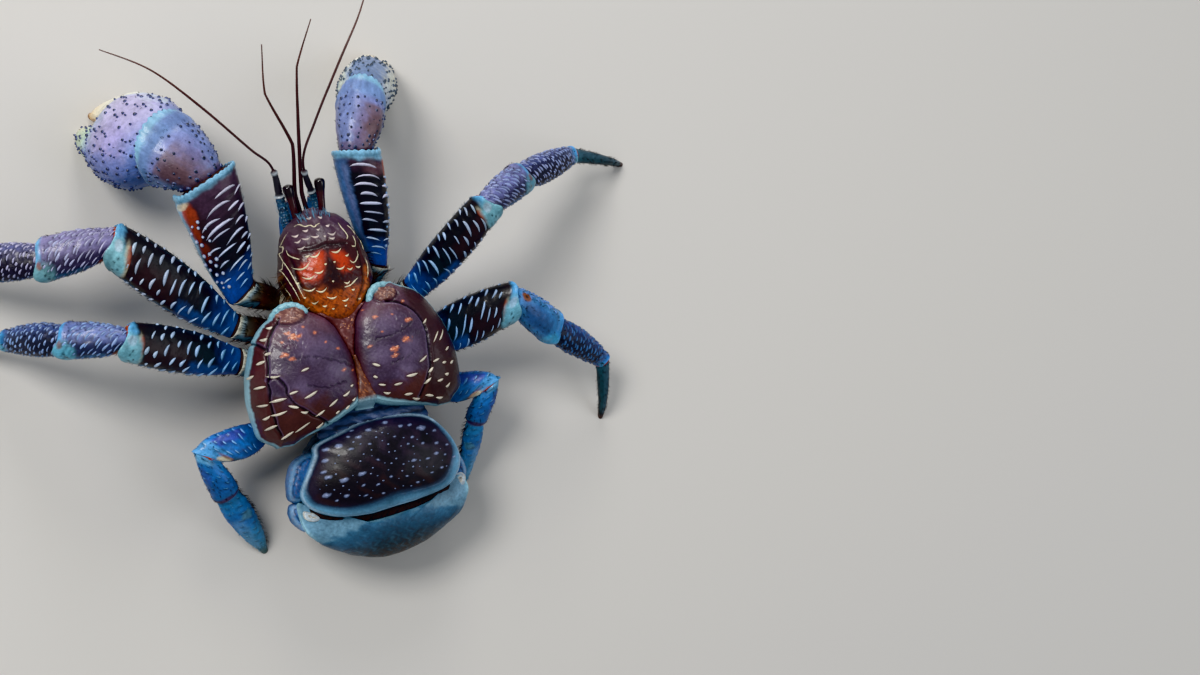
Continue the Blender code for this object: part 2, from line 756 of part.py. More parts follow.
def carve(part, neighbours, gap=touching_gap):
    # Cut a part clear of its neighbours, so that they meet face to face with a thin gap
    scene = bpy.context.scene
    cutters = bpy.data.collections.new("cutters")
    scene.collection.children.link(cutters)
    for neighbour in neighbours:
        cutter = swollen_copy(neighbour, gap, cutters)
        cut = part.modifiers.new(cutter.name, "BOOLEAN")
        cut.operation = "DIFFERENCE"
        cut.solver = "EXACT"
        cut.object = cutter
    graph = bpy.context.evaluated_depsgraph_get()
    mesh = bpy.data.meshes.new_from_object(part.evaluated_get(graph))
    part.modifiers.clear()
    shape = bmesh.new()
    shape.from_mesh(mesh)
    bmesh.ops.remove_doubles(shape, verts=shape.verts, dist=0.00003)
    bmesh.ops.dissolve_degenerate(shape, edges=shape.edges, dist=0.00003)
    bmesh.ops.triangulate(shape, faces=shape.faces)
    largest_piece(shape)
    shape.to_mesh(part.data)
    shape.free()
    for cutter in list(cutters.objects):
        bpy.data.objects.remove(cutter, do_unlink=True)
    bpy.data.collections.remove(cutters)


def build_trunk(materials, root):
    parts = {}
    shield = pillow(shield_outline(), (0.0, 27.0), (0.0, 27.0), shield_top, shield_rim, flat_foot, 0.86)
    parts["shield"] = add_part("head_shield", shield, materials["shield"], root)
    for name, side in (("left", -1), ("right", 1)):
        outline = gill_outline(side)
        centre = (side * 30.0, -24.0)
        inner = (side * 6.0, -24.0)
        cover = pillow(outline, centre, inner, gill_top, gill_rim, flat_foot, gill_undercut)
        parts["gill_" + name] = add_part("gill_cover_" + name, cover, materials["gill"], root)
    heart = pillow(heart_outline(), (0.0, -6.0), (0.0, -6.0), heart_top, heart_rim, flat_foot, 0.9, 3)
    parts["heart"] = add_part("heart_plate", heart, materials["heart"], root)
    return parts


def build_abdomen(materials, root, trunk):
    parts = {}
    plates = materials["abdomen_plate"]
    outline = turned_oval(saddle_centre, saddle_half_size, 24, saddle_squareness)
    saddle = pillow(outline, saddle_centre, saddle_centre, saddle_top, saddle_rim, abdomen_plate_foot, 0.92)
    parts["saddle"] = add_part("tergite_2", saddle, plates, root)
    middle = Vector((rear_plate_centre.x, rear_plate_centre.y - 12.0))
    rear = pillow(rear_plate_outline(), middle, middle, rear_top, rear_rim, abdomen_plate_foot, 0.97, 5)
    add_part("tergite_3", rear, plates, root)
    outline = turned_oval(band_centre, band_half_size, 20, 2.2)
    band = pillow(outline, band_centre, band_centre, band_top, band_rim, flat_foot, 0.95, 4)
    parts["band"] = add_part("tergite_1", band, plates, root)
    last = cut_across(abdomen_sac(), last_plate_front, False)
    add_part("tergite_4", last, plates, root)
    core = cut_across(abdomen_sac(), last_plate_front + touching_gap, True)
    core = cut_across(core, waist - touching_gap, False)
    parts["core"] = add_part("abdomen_core", core, materials["abdomen_skin"], root)
    outline = turned_oval(fan_centre, fan_half_size, 14, 2.3)
    fan = pillow(outline, fan_centre, fan_centre, fan_top, fan_rim, fan_foot, 0.7, 1)
    add_part("tail_fan", fan, plates, root)
    for name, (centre, half_size, turn) in side_lobes.items():
        parts[name] = add_part(name, side_lobe(centre, half_size, turn), plates, root)
    carve(parts["band"], [parts["saddle"], trunk["gill_left"], trunk["gill_right"]])
    carve(parts["core"], [parts[name] for name in side_lobes])


def build_crab():
    collection = bpy.data.collections.new("coconut_crab")
    bpy.context.scene.collection.children.link(collection)
    root = bpy.data.objects.new("crab_root", None)
    collection.objects.link(root)
    root.location = body_offset * mm
    bpy.context.view_layer.update()
    materials = {name: make_material(name) for name in colours}
    trunk = build_trunk(materials, root)
    thorax = build_thorax(materials, root)
    hips = []
    near_legs = {"left": [], "right": []}
    for name, claw in claws.items():
        parts = build_claw(name, claw, materials, root)
        hips.append(parts["ischium"])
    for name, leg in walking_legs.items():
        parts = build_walking_leg(name, leg, materials, root)
        hips.append(parts["ischium"])
        near_legs[name.split("_")[1]].extend((parts["ischium"], parts["merus"]))
    for name, leg in small_legs.items():
        parts = build_small_leg(name, leg, materials, root)
        hips.append(parts["ischium"])
        near_legs[name.split("_")[1]].extend((parts["ischium"], parts["merus"]))
    face = []
    for name, side in (("left", -1), ("right", 1)):
        face.append(build_eye("eye_" + name, side, materials, root))
        hips.append(build_maxilliped("maxilliped_" + name, side, materials, root))
    face.append(build_feeler("antennule_left", antennule_left_route, materials, root))
    face.append(build_feeler("antennule_right", antennule_right_route, materials, root))
    face.append(build_feeler("antenna_left", antenna_left_route, materials, root))
    face.append(build_feeler("antenna_right", antenna_right_route, materials, root))
    carve(trunk["shield"], face)
    carve(trunk["gill_left"], near_legs["left"] + [trunk["shield"]])
    carve(trunk["gill_right"], near_legs["right"] + [trunk["shield"]])
    carve(trunk["heart"], [trunk["shield"]])
    build_abdomen(materials, root, trunk)
    carve(thorax, hips)


clear_scene()
build_crab()
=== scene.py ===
import math

import bpy
import numpy as np
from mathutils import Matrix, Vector
from mathutils.bvhtree import BVHTree


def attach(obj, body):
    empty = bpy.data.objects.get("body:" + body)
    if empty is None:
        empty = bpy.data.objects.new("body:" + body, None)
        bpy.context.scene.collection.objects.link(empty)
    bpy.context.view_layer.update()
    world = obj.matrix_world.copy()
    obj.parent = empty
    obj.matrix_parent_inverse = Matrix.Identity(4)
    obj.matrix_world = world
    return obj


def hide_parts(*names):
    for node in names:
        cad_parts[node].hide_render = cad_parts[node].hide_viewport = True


# Coconut crab, life size: shells, ridges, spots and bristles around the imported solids
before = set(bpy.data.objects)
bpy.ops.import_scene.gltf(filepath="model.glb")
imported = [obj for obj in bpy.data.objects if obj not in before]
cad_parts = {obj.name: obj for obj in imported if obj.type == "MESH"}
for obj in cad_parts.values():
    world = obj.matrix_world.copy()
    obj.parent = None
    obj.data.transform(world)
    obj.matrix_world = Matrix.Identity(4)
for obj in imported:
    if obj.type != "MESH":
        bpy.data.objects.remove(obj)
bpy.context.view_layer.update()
print("Crab: frame loaded")

mm = 0.001
tau = math.tau
bodyOffset = np.array((3.55, -17.05, 0.0))  # the body's own origin in the frame, in mm
unwrapDot = 0.0015  # radius of a small form's dot in the unwrap
draws = np.random.default_rng(11)

# Camera first: it looks down on the back from the animal's left
viewPoint = {
    "place": (-0.20836, -0.01705, 1.05315),
    "turn": (2.5469, -19.8192, -14.9107),
    "lens": 54.54,
    "sensor": 36.0,
    "nearest": 0.05,
}


def addCamera():
    lens = bpy.data.cameras.new("crabCamera")
    lens.lens = viewPoint["lens"]
    lens.sensor_width = viewPoint["sensor"]
    lens.clip_start = viewPoint["nearest"]
    camera = bpy.data.objects.new("crabCamera", lens)
    camera.location = viewPoint["place"]
    camera.rotation_euler = [math.radians(angle) for angle in viewPoint["turn"]]
    bpy.context.scene.collection.objects.link(camera)
    bpy.context.scene.camera = camera


addCamera()

# Numbers and colours


def tint(red, green, blue):
    # Screen colour from 0 to 255, as the linear colour a shader works with
    value = np.array((red, green, blue)) / 255.0
    return np.where(value <= 0.04045, value / 12.92, ((value + 0.055) / 1.055) ** 2.4)


def unit(vector):
    return vector / np.maximum(np.linalg.norm(vector, axis=-1, keepdims=True), 1e-12)


def ringAngles(count):
    return np.arange(count) / count * tau


def signedPower(value, power):
    return np.sign(value) * np.abs(value) ** power


def smoothStep(value, low, high):
    t = np.clip((value - low) / (high - low), 0.0, 1.0)
    return t * t * (3 - 2 * t)


def bell(away, width):
    return np.exp(-(away / width) ** 2)


def curveBetween(before, start, end, after, t):
    # Catmull-Rom curve from start to end, with t from 0 to 1
    bend = (before * 2 - start * 5 + end * 4 - after) * t
    cubic = (start * 3 - end * 3 + after - before) * t * t
    return start + (end - before + bend + cubic) * t * 0.5


def smoothThrough(values, position):
    # Curve through evenly spaced values, with position from 0 to 1
    values = np.asarray(values, float)
    last = len(values) - 1
    place = np.clip(np.asarray(position, float), 0.0, 1.0) * last
    index = np.minimum(place.astype(int), last - 1)
    t = place - index
    if values.ndim > 1:
        t = t[..., None]
    return curveBetween(values[np.maximum(index - 1, 0)], values[index], values[index + 1],
                        values[np.minimum(index + 2, last)], t)


def smoothTable(places, values, position):
    # Smooth curve without overshoot through unevenly spaced values
    places, values = np.asarray(places, float), np.asarray(values, float)
    steps = np.diff(places)
    slopes = np.diff(values) / steps
    tangents = np.zeros(len(places))
    same = slopes[:-1] * slopes[1:] > 0
    tangents[1:-1][same] = 2 * slopes[:-1][same] * slopes[1:][same] / (slopes[:-1] + slopes[1:])[same]
    position = np.clip(position, places[0], places[-1])
    index = np.clip(np.searchsorted(places, position, side="right") - 1, 0, len(steps) - 1)
    step = steps[index]
    t = (position - places[index]) / step
    start, end = values[index], values[index + 1]
    return (start * (1 + 2 * t) * (1 - t) ** 2 + step * tangents[index] * t * (1 - t) ** 2
            + end * t * t * (3 - 2 * t) + step * tangents[index + 1] * t * t * (t - 1))


def rampColour(stops, position):
    # Colour that runs smoothly through stops of (place, colour)
    places = [stop[0] for stop in stops]
    colours = np.array([stop[1] for stop in stops])
    return np.stack([smoothTable(places, colours[:, part], position) for part in range(3)], axis=-1)


def mixColour(under, *layers):
    # Lays colours over one another; each layer is (colour, share)
    for over, share in layers:
        under = under + (np.asarray(over) - under) * share[..., None]
    return under


def softWave(x, y, z=0.0, seed=0.0):
    # Slow uneven wave between -1 and 1, for edges and blotches: waves that bend one another
    u = x + 0.9 * np.sin(y * 1.3 + z * 0.9 + seed)
    v = y + 0.9 * np.sin(x * 1.1 - z * 1.4 + seed * 1.9)
    w = z + 0.9 * np.sin(x * 1.2 + y * 0.8 + seed * 0.7)
    return (np.sin(u * 1.13 + seed) * np.cos(v * 0.97 - seed * 1.7)
            + 0.6 * np.sin(u * 1.9 + v * 0.7 + seed * 2.3)
            + 0.5 * np.sin(w * 1.57 - u * 0.83 + seed) + 0.35 * np.cos(v * 2.9 - w * 1.3 + u * 0.6)) / 2.45


def waveOver(points, scale, seed=0.0):
    # The soft wave at points in mm, flat or in space; a larger scale gives smaller waves
    return softWave(*(points[..., part] * scale for part in range(points.shape[-1])), seed=seed)


# Meshes


def gridQuads(rows, columns):
    row = np.arange(rows - 1)[:, None] * columns
    here = np.arange(columns)[None, :]
    there = (here + 1) % columns
    return np.stack((row + here, row + columns + here, row + columns + there, row + there), -1).reshape(-1, 4)


def outwardFaces(points, quads, tris):
    # Turns every face over where the closed shape is inside out
    all3 = np.concatenate((quads[:, :3], quads[:, [0, 2, 3]], tris))
    a, b, c = (points[all3[:, corner]] for corner in range(3))
    if np.einsum("ij,ij->i", a, np.cross(b, c)).sum() < 0:
        return quads[:, ::-1], tris[:, ::-1]
    return quads, tris


def closeTube(grid):
    # Grid of rings, rows by columns, closed round and at both ends
    rows, columns = grid.shape[:2]
    points = np.concatenate((grid.reshape(-1, 3), grid[:1].mean(1), grid[-1:].mean(1)))
    here = np.arange(columns)
    there = (here + 1) % columns
    first = np.full(columns, rows * columns)
    top = (rows - 1) * columns
    tris = np.concatenate((np.stack((first, here, there), -1),
                           np.stack((first + 1, top + there, top + here), -1)))
    return (points, *outwardFaces(points, gridQuads(rows, columns), tris))


def paintedTube(grid, colour):
    # A closed tube with its paint; each end takes the mean colour of its last ring
    colours = np.concatenate((colour.reshape(-1, 3), colour[:1].mean(1), colour[-1:].mean(1)))
    return (*closeTube(grid), colours)


def ringPaint(colour, sides):
    # One colour per ring, spread round the ring
    return np.repeat(colour[:, None], sides, axis=1)


def buildMesh(name, points, quads, tris, colours, unwrap=None):
    mesh = bpy.data.meshes.new(name)
    corners = np.concatenate((quads.ravel(), tris.ravel())).astype(np.int32)
    starts = np.concatenate((np.arange(len(quads)) * 4,
                             len(quads) * 4 + np.arange(len(tris)) * 3)).astype(np.int32)
    mesh.vertices.add(len(points))
    mesh.vertices.foreach_set("co", ((points + bodyOffset) * mm).astype(np.float32).ravel())
    mesh.loops.add(len(corners))
    mesh.loops.foreach_set("vertex_index", corners)
    mesh.polygons.add(len(starts))
    mesh.polygons.foreach_set("loop_start", starts)
    mesh.update(calc_edges=True)
    mesh.validate()
    paint = mesh.color_attributes.new("paint", "FLOAT_COLOR", "POINT")
    rgba = np.ones((len(points), 4), np.float32)
    rgba[:, :3] = np.clip(colours, 0.0, 1.0)
    paint.data.foreach_set("color", rgba.ravel())
    if unwrap is not None:
        layer = mesh.uv_layers.new(name="OFBake")
        layer.data.foreach_set("uv", unwrap[corners].astype(np.float32).ravel())
    mesh.shade_smooth()
    return mesh


pieceCount = 0


def addPiece(name, shape, finish, slotName, *nodes):
    # A visible piece out of (points, quads, tris, colours) and perhaps an unwrap
    global pieceCount
    piece = bpy.data.objects.new(name, buildMesh(name, *shape))
    bpy.context.scene.collection.objects.link(piece)
    piece.data.materials.append(materials[finish])
    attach(piece, "root")
    if nodes:
        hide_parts(*nodes)
    pieceCount += 1


def joinParts(parts):
    # Several shapes of (points, quads, tris, colours) and perhaps an unwrap as one
    shifts = np.cumsum([0] + [len(part[0]) for part in parts])
    points, quads, tris, *paint = zip(*parts)
    quads, tris = ([faces + shift for faces, shift in zip(column, shifts)] for column in (quads, tris))
    return [np.concatenate(column) for column in (points, quads, tris, *paint)]


# Small forms that lie on a skin. A skin gives the point and the outward direction at
# (along, around), and the two directions are measured in mm through the around per mm.


def skinAxes(skin, along, around):
    spot, normal = skin(along, around)
    ahead = skin(along + 0.4, around)[0] - spot
    ahead = unit(ahead - normal * (ahead * normal).sum(-1, keepdims=True))
    return spot, normal, ahead, np.cross(normal, ahead)


def markColumns(marks):
    # Each value of the marks as an array over all of them
    return [np.array([mark[part] for mark in marks], float) for part in range(len(marks[0]))]


def repeatForms(points, rings, sides):
    # Faces of many small closed forms that all have the same rings and sides
    points = points.reshape(-1, 3)
    block = rings * sides
    fan = np.array([(0, corner, corner + 1) for corner in range(1, sides - 1)])
    ends = np.concatenate((fan, fan[:, ::-1] + (rings - 1) * sides))
    quads, ends = outwardFaces(points[:block], gridQuads(rings, sides), ends)
    shift = (np.arange(len(points) // block) * block)[:, None, None]
    return points, (quads[None] + shift).reshape(-1, 4), (ends[None] + shift).reshape(-1, 3)


def dotPlaces(places, rings, sides):
    # Every small form takes a dot of the unwrap around its own place
    angle = ringAngles(sides)
    dot = np.tile(np.stack((np.cos(angle), np.sin(angle)), -1) * unwrapDot, (rings, 1))
    return (places[:, None] + dot[None]).reshape(-1, 2)


# Section of a raised dash as (across, up), and how much of the dark colour each corner takes, as painted
# shade on its lower side
ridgeRing = np.array(((-1.0, -0.25), (-0.6, 0.5), (0.1, 1.0), (0.7, 0.85), (1.0, -0.3), (0.0, -0.8)))
ridgeShade = np.array((0.2, 0.0, 0.0, 0.0, 0.5, 0.8))


def makeRidges(skin, marks, unwrap, ribs=7):
    # Raised dashes with pointed ends: each mark is (along, around, half length, slant, curve, width,
    # height, around per mm, pale colour, dark colour for the painted shade on its lower side)
    *sizes, pale, dark = markColumns(marks)
    along, around, half, slant, curve, width, height, perMm = (size[:, None] for size in sizes)
    count, sides = len(marks), len(ridgeRing)
    t = np.linspace(-1, 1, ribs)[None, :]
    taper = 1 - np.abs(t) ** 2.4
    centre = along + slant * half * t + curve * (t * t - 0.4)
    turned = around + perMm * half * t
    reach = ridgeRing[:, 0] * (width * (0.14 + 0.86 * taper) / 2)[..., None]
    rise = ridgeRing[:, 1] * (height * (0.15 + 0.85 * taper))[..., None]
    alongAll = centre[..., None] + reach
    aroundAll = np.broadcast_to(turned[..., None], alongAll.shape)
    spot, normal = skin(alongAll, aroundAll)
    # the lower corners take the dark colour as painted shade
    share = ridgeShade[None, None, :, None]
    colours = pale[:, None, None, :] * (1 - share) + dark[:, None, None, :] * share
    colours = np.broadcast_to(colours, (count, ribs, sides, 3)).reshape(-1, 3)
    places = unwrap(alongAll, aroundAll).reshape(-1, 2)
    return (*repeatForms(spot + normal * rise[..., None], ribs, sides), colours, places)


def makeBumps(skin, marks, unwrap, sides=8):
    # Low domes and knobs: each mark is (along, around, half length, half width, height, turn,
    # foot colour, top colour)
    along, around, long, wide, height, turn, foot, top = markColumns(marks)
    spot, normal, ahead, aside = skinAxes(skin, along, around)
    rings = ((1.0, -0.5), (0.86, 0.35), (0.52, 0.84), (0.18, 1.0))
    angle = ringAngles(sides)
    points, colours = [], []
    for reach, rise in rings:
        x = np.cos(angle)[None, :] * long[:, None] * reach
        y = np.sin(angle)[None, :] * wide[:, None] * reach
        ct, st = np.cos(turn)[:, None], np.sin(turn)[:, None]
        p, q = x * ct - y * st, x * st + y * ct
        points.append(spot[:, None] + ahead[:, None] * p[..., None] + aside[:, None] * q[..., None]
                      + normal[:, None] * (height * rise)[:, None, None])
        share = min(max(rise, 0.0), 1.0) ** 1.5
        colours.append(np.broadcast_to((foot * (1 - share) + top * share)[:, None], points[-1].shape))
    return (*repeatForms(np.stack(points, 1), len(rings), sides), np.stack(colours, 1).reshape(-1, 3),
            dotPlaces(unwrap(along, around), len(rings), sides))


def makeBristles(skin, marks, unwrap):
    # Stiff hairs: each mark is (along, around, length, thickness, lean ahead, lean aside, colour)
    along, around, length, thick, lean, aslant, colour = markColumns(marks)
    spot, normal, ahead, aside = skinAxes(skin, along, around)
    way = unit(normal + ahead * lean[:, None] + aside * aslant[:, None])
    bend = unit(way + ahead * 0.5 * np.sign(lean)[:, None])
    rings = sides = 3
    angle = ringAngles(sides)
    rim = ahead[:, None] * np.cos(angle)[None, :, None] + aside[:, None] * np.sin(angle)[None, :, None]
    foot = spot - normal * 0.3
    middle = spot + way * (length * 0.55)[:, None]
    tip = middle + bend * (length * 0.45)[:, None]
    points = np.stack([place[:, None] + rim * thick[:, None, None] * share
                       for place, share in ((foot, 0.5), (middle, 0.36), (tip, 0.08))], 1)
    return (*repeatForms(points, rings, sides), np.repeat(colour, rings * sides, 0),
            dotPlaces(unwrap(along, around), rings, sides))


# Shader groups and finishes


def addNode(tree, kind, values=(), **settings):
    # A shader node with its settings, and with the values of some inputs as (input, value)
    node = tree.nodes.new("ShaderNode" + kind)
    for word, value in settings.items():
        setattr(node, word, value)
    for socket, value in values:
        node.inputs[socket].default_value = value
    return node


def wire(tree, *wires):
    # Links, each as (node, its output, next node, its input)
    for start, output, end, socket in wires:
        tree.links.new(start.outputs[output], end.inputs[socket])


def newGroup(name, inputs, outputs):
    group = bpy.data.node_groups.new(name, "ShaderNodeTree")
    for label, value in inputs:
        socket = group.interface.new_socket(name=label, in_out="INPUT", socket_type="NodeSocketFloat")
        socket.default_value = value
    for label in outputs:
        group.interface.new_socket(name=label, in_out="OUTPUT", socket_type="NodeSocketFloat")
    return group, group.nodes.new("NodeGroupInput"), group.nodes.new("NodeGroupOutput")


def makeMottleGroup():
    # Uneven pigment: large clouds broken up by small flecks
    group, start, end = newGroup("pigmentMottle", (("Cloud scale", 90.0), ("Fleck scale", 900.0)),
                                 ("Cloud", "Fleck"))
    place = addNode(group, "TexCoord")
    for label, detail, out in (("Cloud scale", 5.0, "Cloud"), ("Fleck scale", 3.0, "Fleck")):
        noise = addNode(group, "TexNoise", (("Detail", detail), ("Roughness", 0.6)))
        spread = addNode(group, "MapRange", (("From Min", 0.3), ("From Max", 0.7)))
        wire(group, (place, "Object", noise, "Vector"), (start, label, noise, "Scale"),
             (noise, "Fac", spread, "Value"), (spread, "Result", end, out))
    return group


def makePoreGroup():
    # Shell surface: fine grain with small round pores
    group, start, end = newGroup("shellPores", (("Pore scale", 900.0), ("Grain scale", 2600.0)), ("Height",))
    place = addNode(group, "TexCoord")
    pores = addNode(group, "TexVoronoi")
    pits = addNode(group, "MapRange", (("From Min", 0.05), ("From Max", 0.32)))
    grain = addNode(group, "TexNoise", (("Detail", 4.0),))
    both = addNode(group, "Math", ((1, 0.55),), operation="MULTIPLY_ADD")
    wire(group, (place, "Object", pores, "Vector"), (place, "Object", grain, "Vector"),
         (start, "Pore scale", pores, "Scale"), (start, "Grain scale", grain, "Scale"),
         (pores, "Distance", pits, "Value"), (grain, "Fac", both, 0), (pits, "Result", both, 2),
         (both, "Value", end, "Height"))
    return group


mottleGroup = makeMottleGroup()
poreGroup = makePoreGroup()


def makeFinish(name, cloudScale, cloud, fleckScale, fleck, poreScale, bump, depth, rough, coat, soft):
    # Painted shell: the paint on the mesh, broken up by clouds and flecks, over pores
    material = bpy.data.materials.new(name)
    material.use_nodes = True
    tree = material.node_tree
    shader = tree.nodes["Principled BSDF"]
    for socket, value in (("Coat Weight", coat), ("Coat Roughness", 0.12), ("Subsurface Weight", soft),
                          ("Subsurface Scale", 0.002)):
        shader.inputs[socket].default_value = value
    paint = addNode(tree, "Attribute", attribute_name="paint")
    mottle = addNode(tree, "Group", (("Cloud scale", cloudScale), ("Fleck scale", fleckScale)),
                     node_tree=mottleGroup)
    pores = addNode(tree, "Group", (("Pore scale", poreScale), ("Grain scale", poreScale * 3)),
                    node_tree=poreGroup)
    colour, output = paint, "Color"
    for part, (low, high) in (("Cloud", cloud), ("Fleck", fleck)):
        shade = addNode(tree, "MapRange", (("To Min", low), ("To Max", high)))
        blend = addNode(tree, "Mix", (("Factor", 1.0),), data_type="RGBA", blend_type="MULTIPLY")
        wire(tree, (mottle, part, shade, "Value"), (colour, output, blend, "A"),
             (shade, "Result", blend, "B"))
        colour, output = blend, "Result"
    gloss = addNode(tree, "MapRange", (("To Min", rough[0]), ("To Max", rough[1])))
    relief = addNode(tree, "Bump", (("Strength", bump), ("Distance", depth)))
    wire(tree, (colour, output, shader, "Base Color"), (mottle, "Fleck", gloss, "Value"),
         (gloss, "Result", shader, "Roughness"), (pores, "Height", relief, "Height"),
         (relief, "Normal", shader, "Normal"))
    return material


# A finish is (cloud scale, darkest and lightest cloud, fleck scale, darkest and lightest fleck,
# pore scale, bump, its depth in m, least and most roughness, coat, softness)
finishes = {
    "glossShell": (70, (0.72, 1.22), 800, (0.86, 1.1), 900, 0.3, 0.0002, (0.34, 0.5), 0.22, 0),
    "spottedShell": (60, (0.7, 1.3), 700, (0.8, 1.15), 700, 0.35, 0.0002, (0.36, 0.5), 0.16, 0),
    "limbShell": (110, (0.7, 1.25), 900, (0.82, 1.12), 800, 0.45, 0.00025, (0.34, 0.5), 0.25, 0),
    "clawShell": (80, (0.8, 1.18), 700, (0.85, 1.1), 600, 0.45, 0.0003, (0.36, 0.5), 0.25, 0),
    "ridgeShell": (150, (0.82, 1.12), 1200, (0.9, 1.08), 1500, 0.2, 0.0001, (0.3, 0.45), 0.3, 0),
    "softSkin": (160, (0.65, 1.3), 1100, (0.75, 1.2), 900, 0.8, 0.0004, (0.5, 0.7), 0, 0.1),
    "underShell": (90, (0.75, 1.15), 700, (0.85, 1.1), 700, 0.5, 0.0003, (0.45, 0.62), 0.05, 0),
    "hornTip": (120, (0.7, 1.2), 1000, (0.85, 1.1), 1000, 0.3, 0.0002, (0.35, 0.5), 0.15, 0),
    "bristle": (200, (0.7, 1.2), 1500, (0.85, 1.1), 2000, 0.1, 0.0001, (0.5, 0.65), 0, 0),
    "wetEye": (250, (0.7, 1.2), 1500, (0.8, 1.15), 4000, 0.12, 0.00008, (0.08, 0.16), 0.9, 0),
}
materials = {name: makeFinish(name, *finish) for name, finish in finishes.items()}
print("Crab: materials made")

# Limb pieces as (length, heading, rise, widths, depth), from the hip out: heading 0 is straight out
# to the side and 90 is to the head, rise is above level, lengths and widths are in mm, and depth is
# a share of the width. A palm is (length, heading, rise, width, thickness).
limbs = {
    "claw_left": {
        "side": -1, "hip": (-27.0, 20.0, 30.0),
        "ischium": (20.5, 24, 18, (13, 15, 15), 0.95),
        "merus": (69.0, 82, 24, (17, 27, 33, 36.5), 0.68),
        "carpus": (24.0, 56, -10, (23, 35, 41), 0.78),
        "palm": (72.0, 43, -54, 55.0, 38.0),
    },
    "claw_right": {
        "side": 1, "hip": (22.0, 16.0, 28.0),
        "ischium": (17.0, 38, 20, (13, 15, 14), 0.95),
        "merus": (69.5, 93, 26, (11, 19.5, 25, 26), 0.86),
        "carpus": (28.5, 66, -16, (18, 25, 27), 0.92),
        "palm": (74.0, 44, -53, 32.0, 29.0),
    },
    "walk1_left": {
        "side": -1, "hip": (-31.0, 1.0, 26.0),
        "ischium": (24.0, 24, 10, (14, 15, 14), 1.0),
        "merus": (89.0, 45, 25, (14, 24, 27, 23.5), 0.66),
        "carpus": (36.0, 1, -16, (16, 22, 23.5), 0.78),
        "propodus": (53.0, 11, -35, (16, 20, 17.5, 13), 0.8),
        "dactyl": (40.0, -2, -44, (10, 8, 5.5, 3), 0.85),
    },
    "walk2_left": {
        "side": -1, "hip": (-33.0, -18.0, 26.0),
        "ischium": (25.0, 22, 12, (15, 16, 15), 1.0),
        "merus": (74.0, 23, 29, (15, 22, 24, 21), 0.7),
        "carpus": (31.0, 16, -21, (14, 18.5, 20), 0.85),
        "propodus": (43.0, 16, -46, (15, 18, 15.5, 11.5), 0.8),
        "dactyl": (34.0, 10, -50, (9, 7.5, 5, 3), 0.85),
    },
    "walk1_right": {
        "side": 1, "hip": (31.0, -1.0, 27.0),
        "ischium": (22.5, 20, 14, (15, 16, 15), 1.0),
        "merus": (72.0, 41, 41, (15, 20, 21, 19), 0.85),
        "carpus": (35.5, 22, -31, (14, 18, 19), 0.9),
        "propodus": (59.0, 10, -35, (14, 17, 15, 10.5), 0.85),
        "dactyl": (50.0, -15, -34, (8.5, 7, 5, 3), 0.85),
    },
    "walk2_right": {
        "side": 1, "hip": (30.0, -23.0, 26.0),
        "ischium": (21.0, 0, 3, (15, 16, 15), 1.0),
        "merus": (63.5, 11, 41, (17, 26, 26.5, 22), 0.72),
        "carpus": (33.5, -41, -27, (15, 19, 20), 0.9),
        "propodus": (54.0, -38, -32, (14, 16.5, 14, 9.5), 0.85),
        "dactyl": (46.0, -92, -36, (8, 7, 5, 3), 0.85),
    },
    "small_left": {
        "side": -1, "hip": (-31.0, -46.0, 26.0),
        "ischium": (21.0, -12, 10, (12, 13, 12), 1.0),
        "merus": (36.5, -8, 16, (13, 18, 19, 12), 0.75),
        "carpus": (26.0, -105, -24, (11, 15, 15.5), 0.8),
        "hand": (54.0, -113, -34, (13, 16, 14, 10, 4), 0.6),
    },
    "small_right": {
        "side": 1, "hip": (33.0, -48.0, 26.0),
        "ischium": (21.0, -10, 12, (12, 13, 12), 1.0),
        "merus": (28.5, -15, 28, (13, 17, 17.5, 11), 0.75),
        "carpus": (22.0, -116, -30, (10, 13, 12.5), 0.85),
        "hand": (49.0, -105, -39, (10, 11.5, 9.5, 7, 4), 0.7),
    },
}
# Upward bow of each piece in mm, from the hip out
bows = {"claw": (1.5, 1.5, 1.5, 0.0), "walk": (0.0, 3.0, 1.5, 1.5, 3.0), "small": (1.0, 1.0, 1.0, 1.0)}
knuckle = 0.62  # where along the palm the moving finger starts
fingerStart = 0.4  # the moving finger's base shows beside the palm from here
clawSquareness = 2.3


def limbKind(name):
    return name.split("_")[0].strip("12")


def direction(side, heading, rise):
    level = math.cos(math.radians(rise))
    return np.array((side * level * math.cos(math.radians(heading)), level * math.sin(math.radians(heading)),
                     math.sin(math.radians(rise))))


# A profile gives (width, depth, shift sideways, shift upward) at a place from 0 to 1


def plainProfile(widths, depth, bow):
    def profile(place):
        width = smoothThrough(widths, place)
        return width, width * depth, 0.0, bow * np.sin(math.pi * np.clip(place, 0, 1))
    return profile


def palmProfile(width, thick):
    # The palm swells from the wrist, then steps in to the fixed finger at the outer side
    places = (0.0, 0.07, 0.16, 0.28, 0.42, 0.54, 0.61, 0.645, 0.73, 0.83, 0.93, 1.0)
    wide = (0.46, 0.68, 0.86, 0.98, 1.0, 0.93, 0.84, 0.4, 0.37, 0.3, 0.2, 0.08)
    deep = (0.62, 0.82, 0.95, 1.0, 0.98, 0.88, 0.78, 0.62, 0.54, 0.43, 0.28, 0.12)
    outer = -0.2 * width

    def profile(place):
        over = smoothStep(place, knuckle - 0.005, knuckle + 0.025)
        finger = np.clip((place - knuckle) / (1 - knuckle), 0, 1)
        return (width * smoothTable(places, wide, place), thick * smoothTable(places, deep, place),
                over * outer * (1 - 0.45 * finger), 0.0)
    return profile


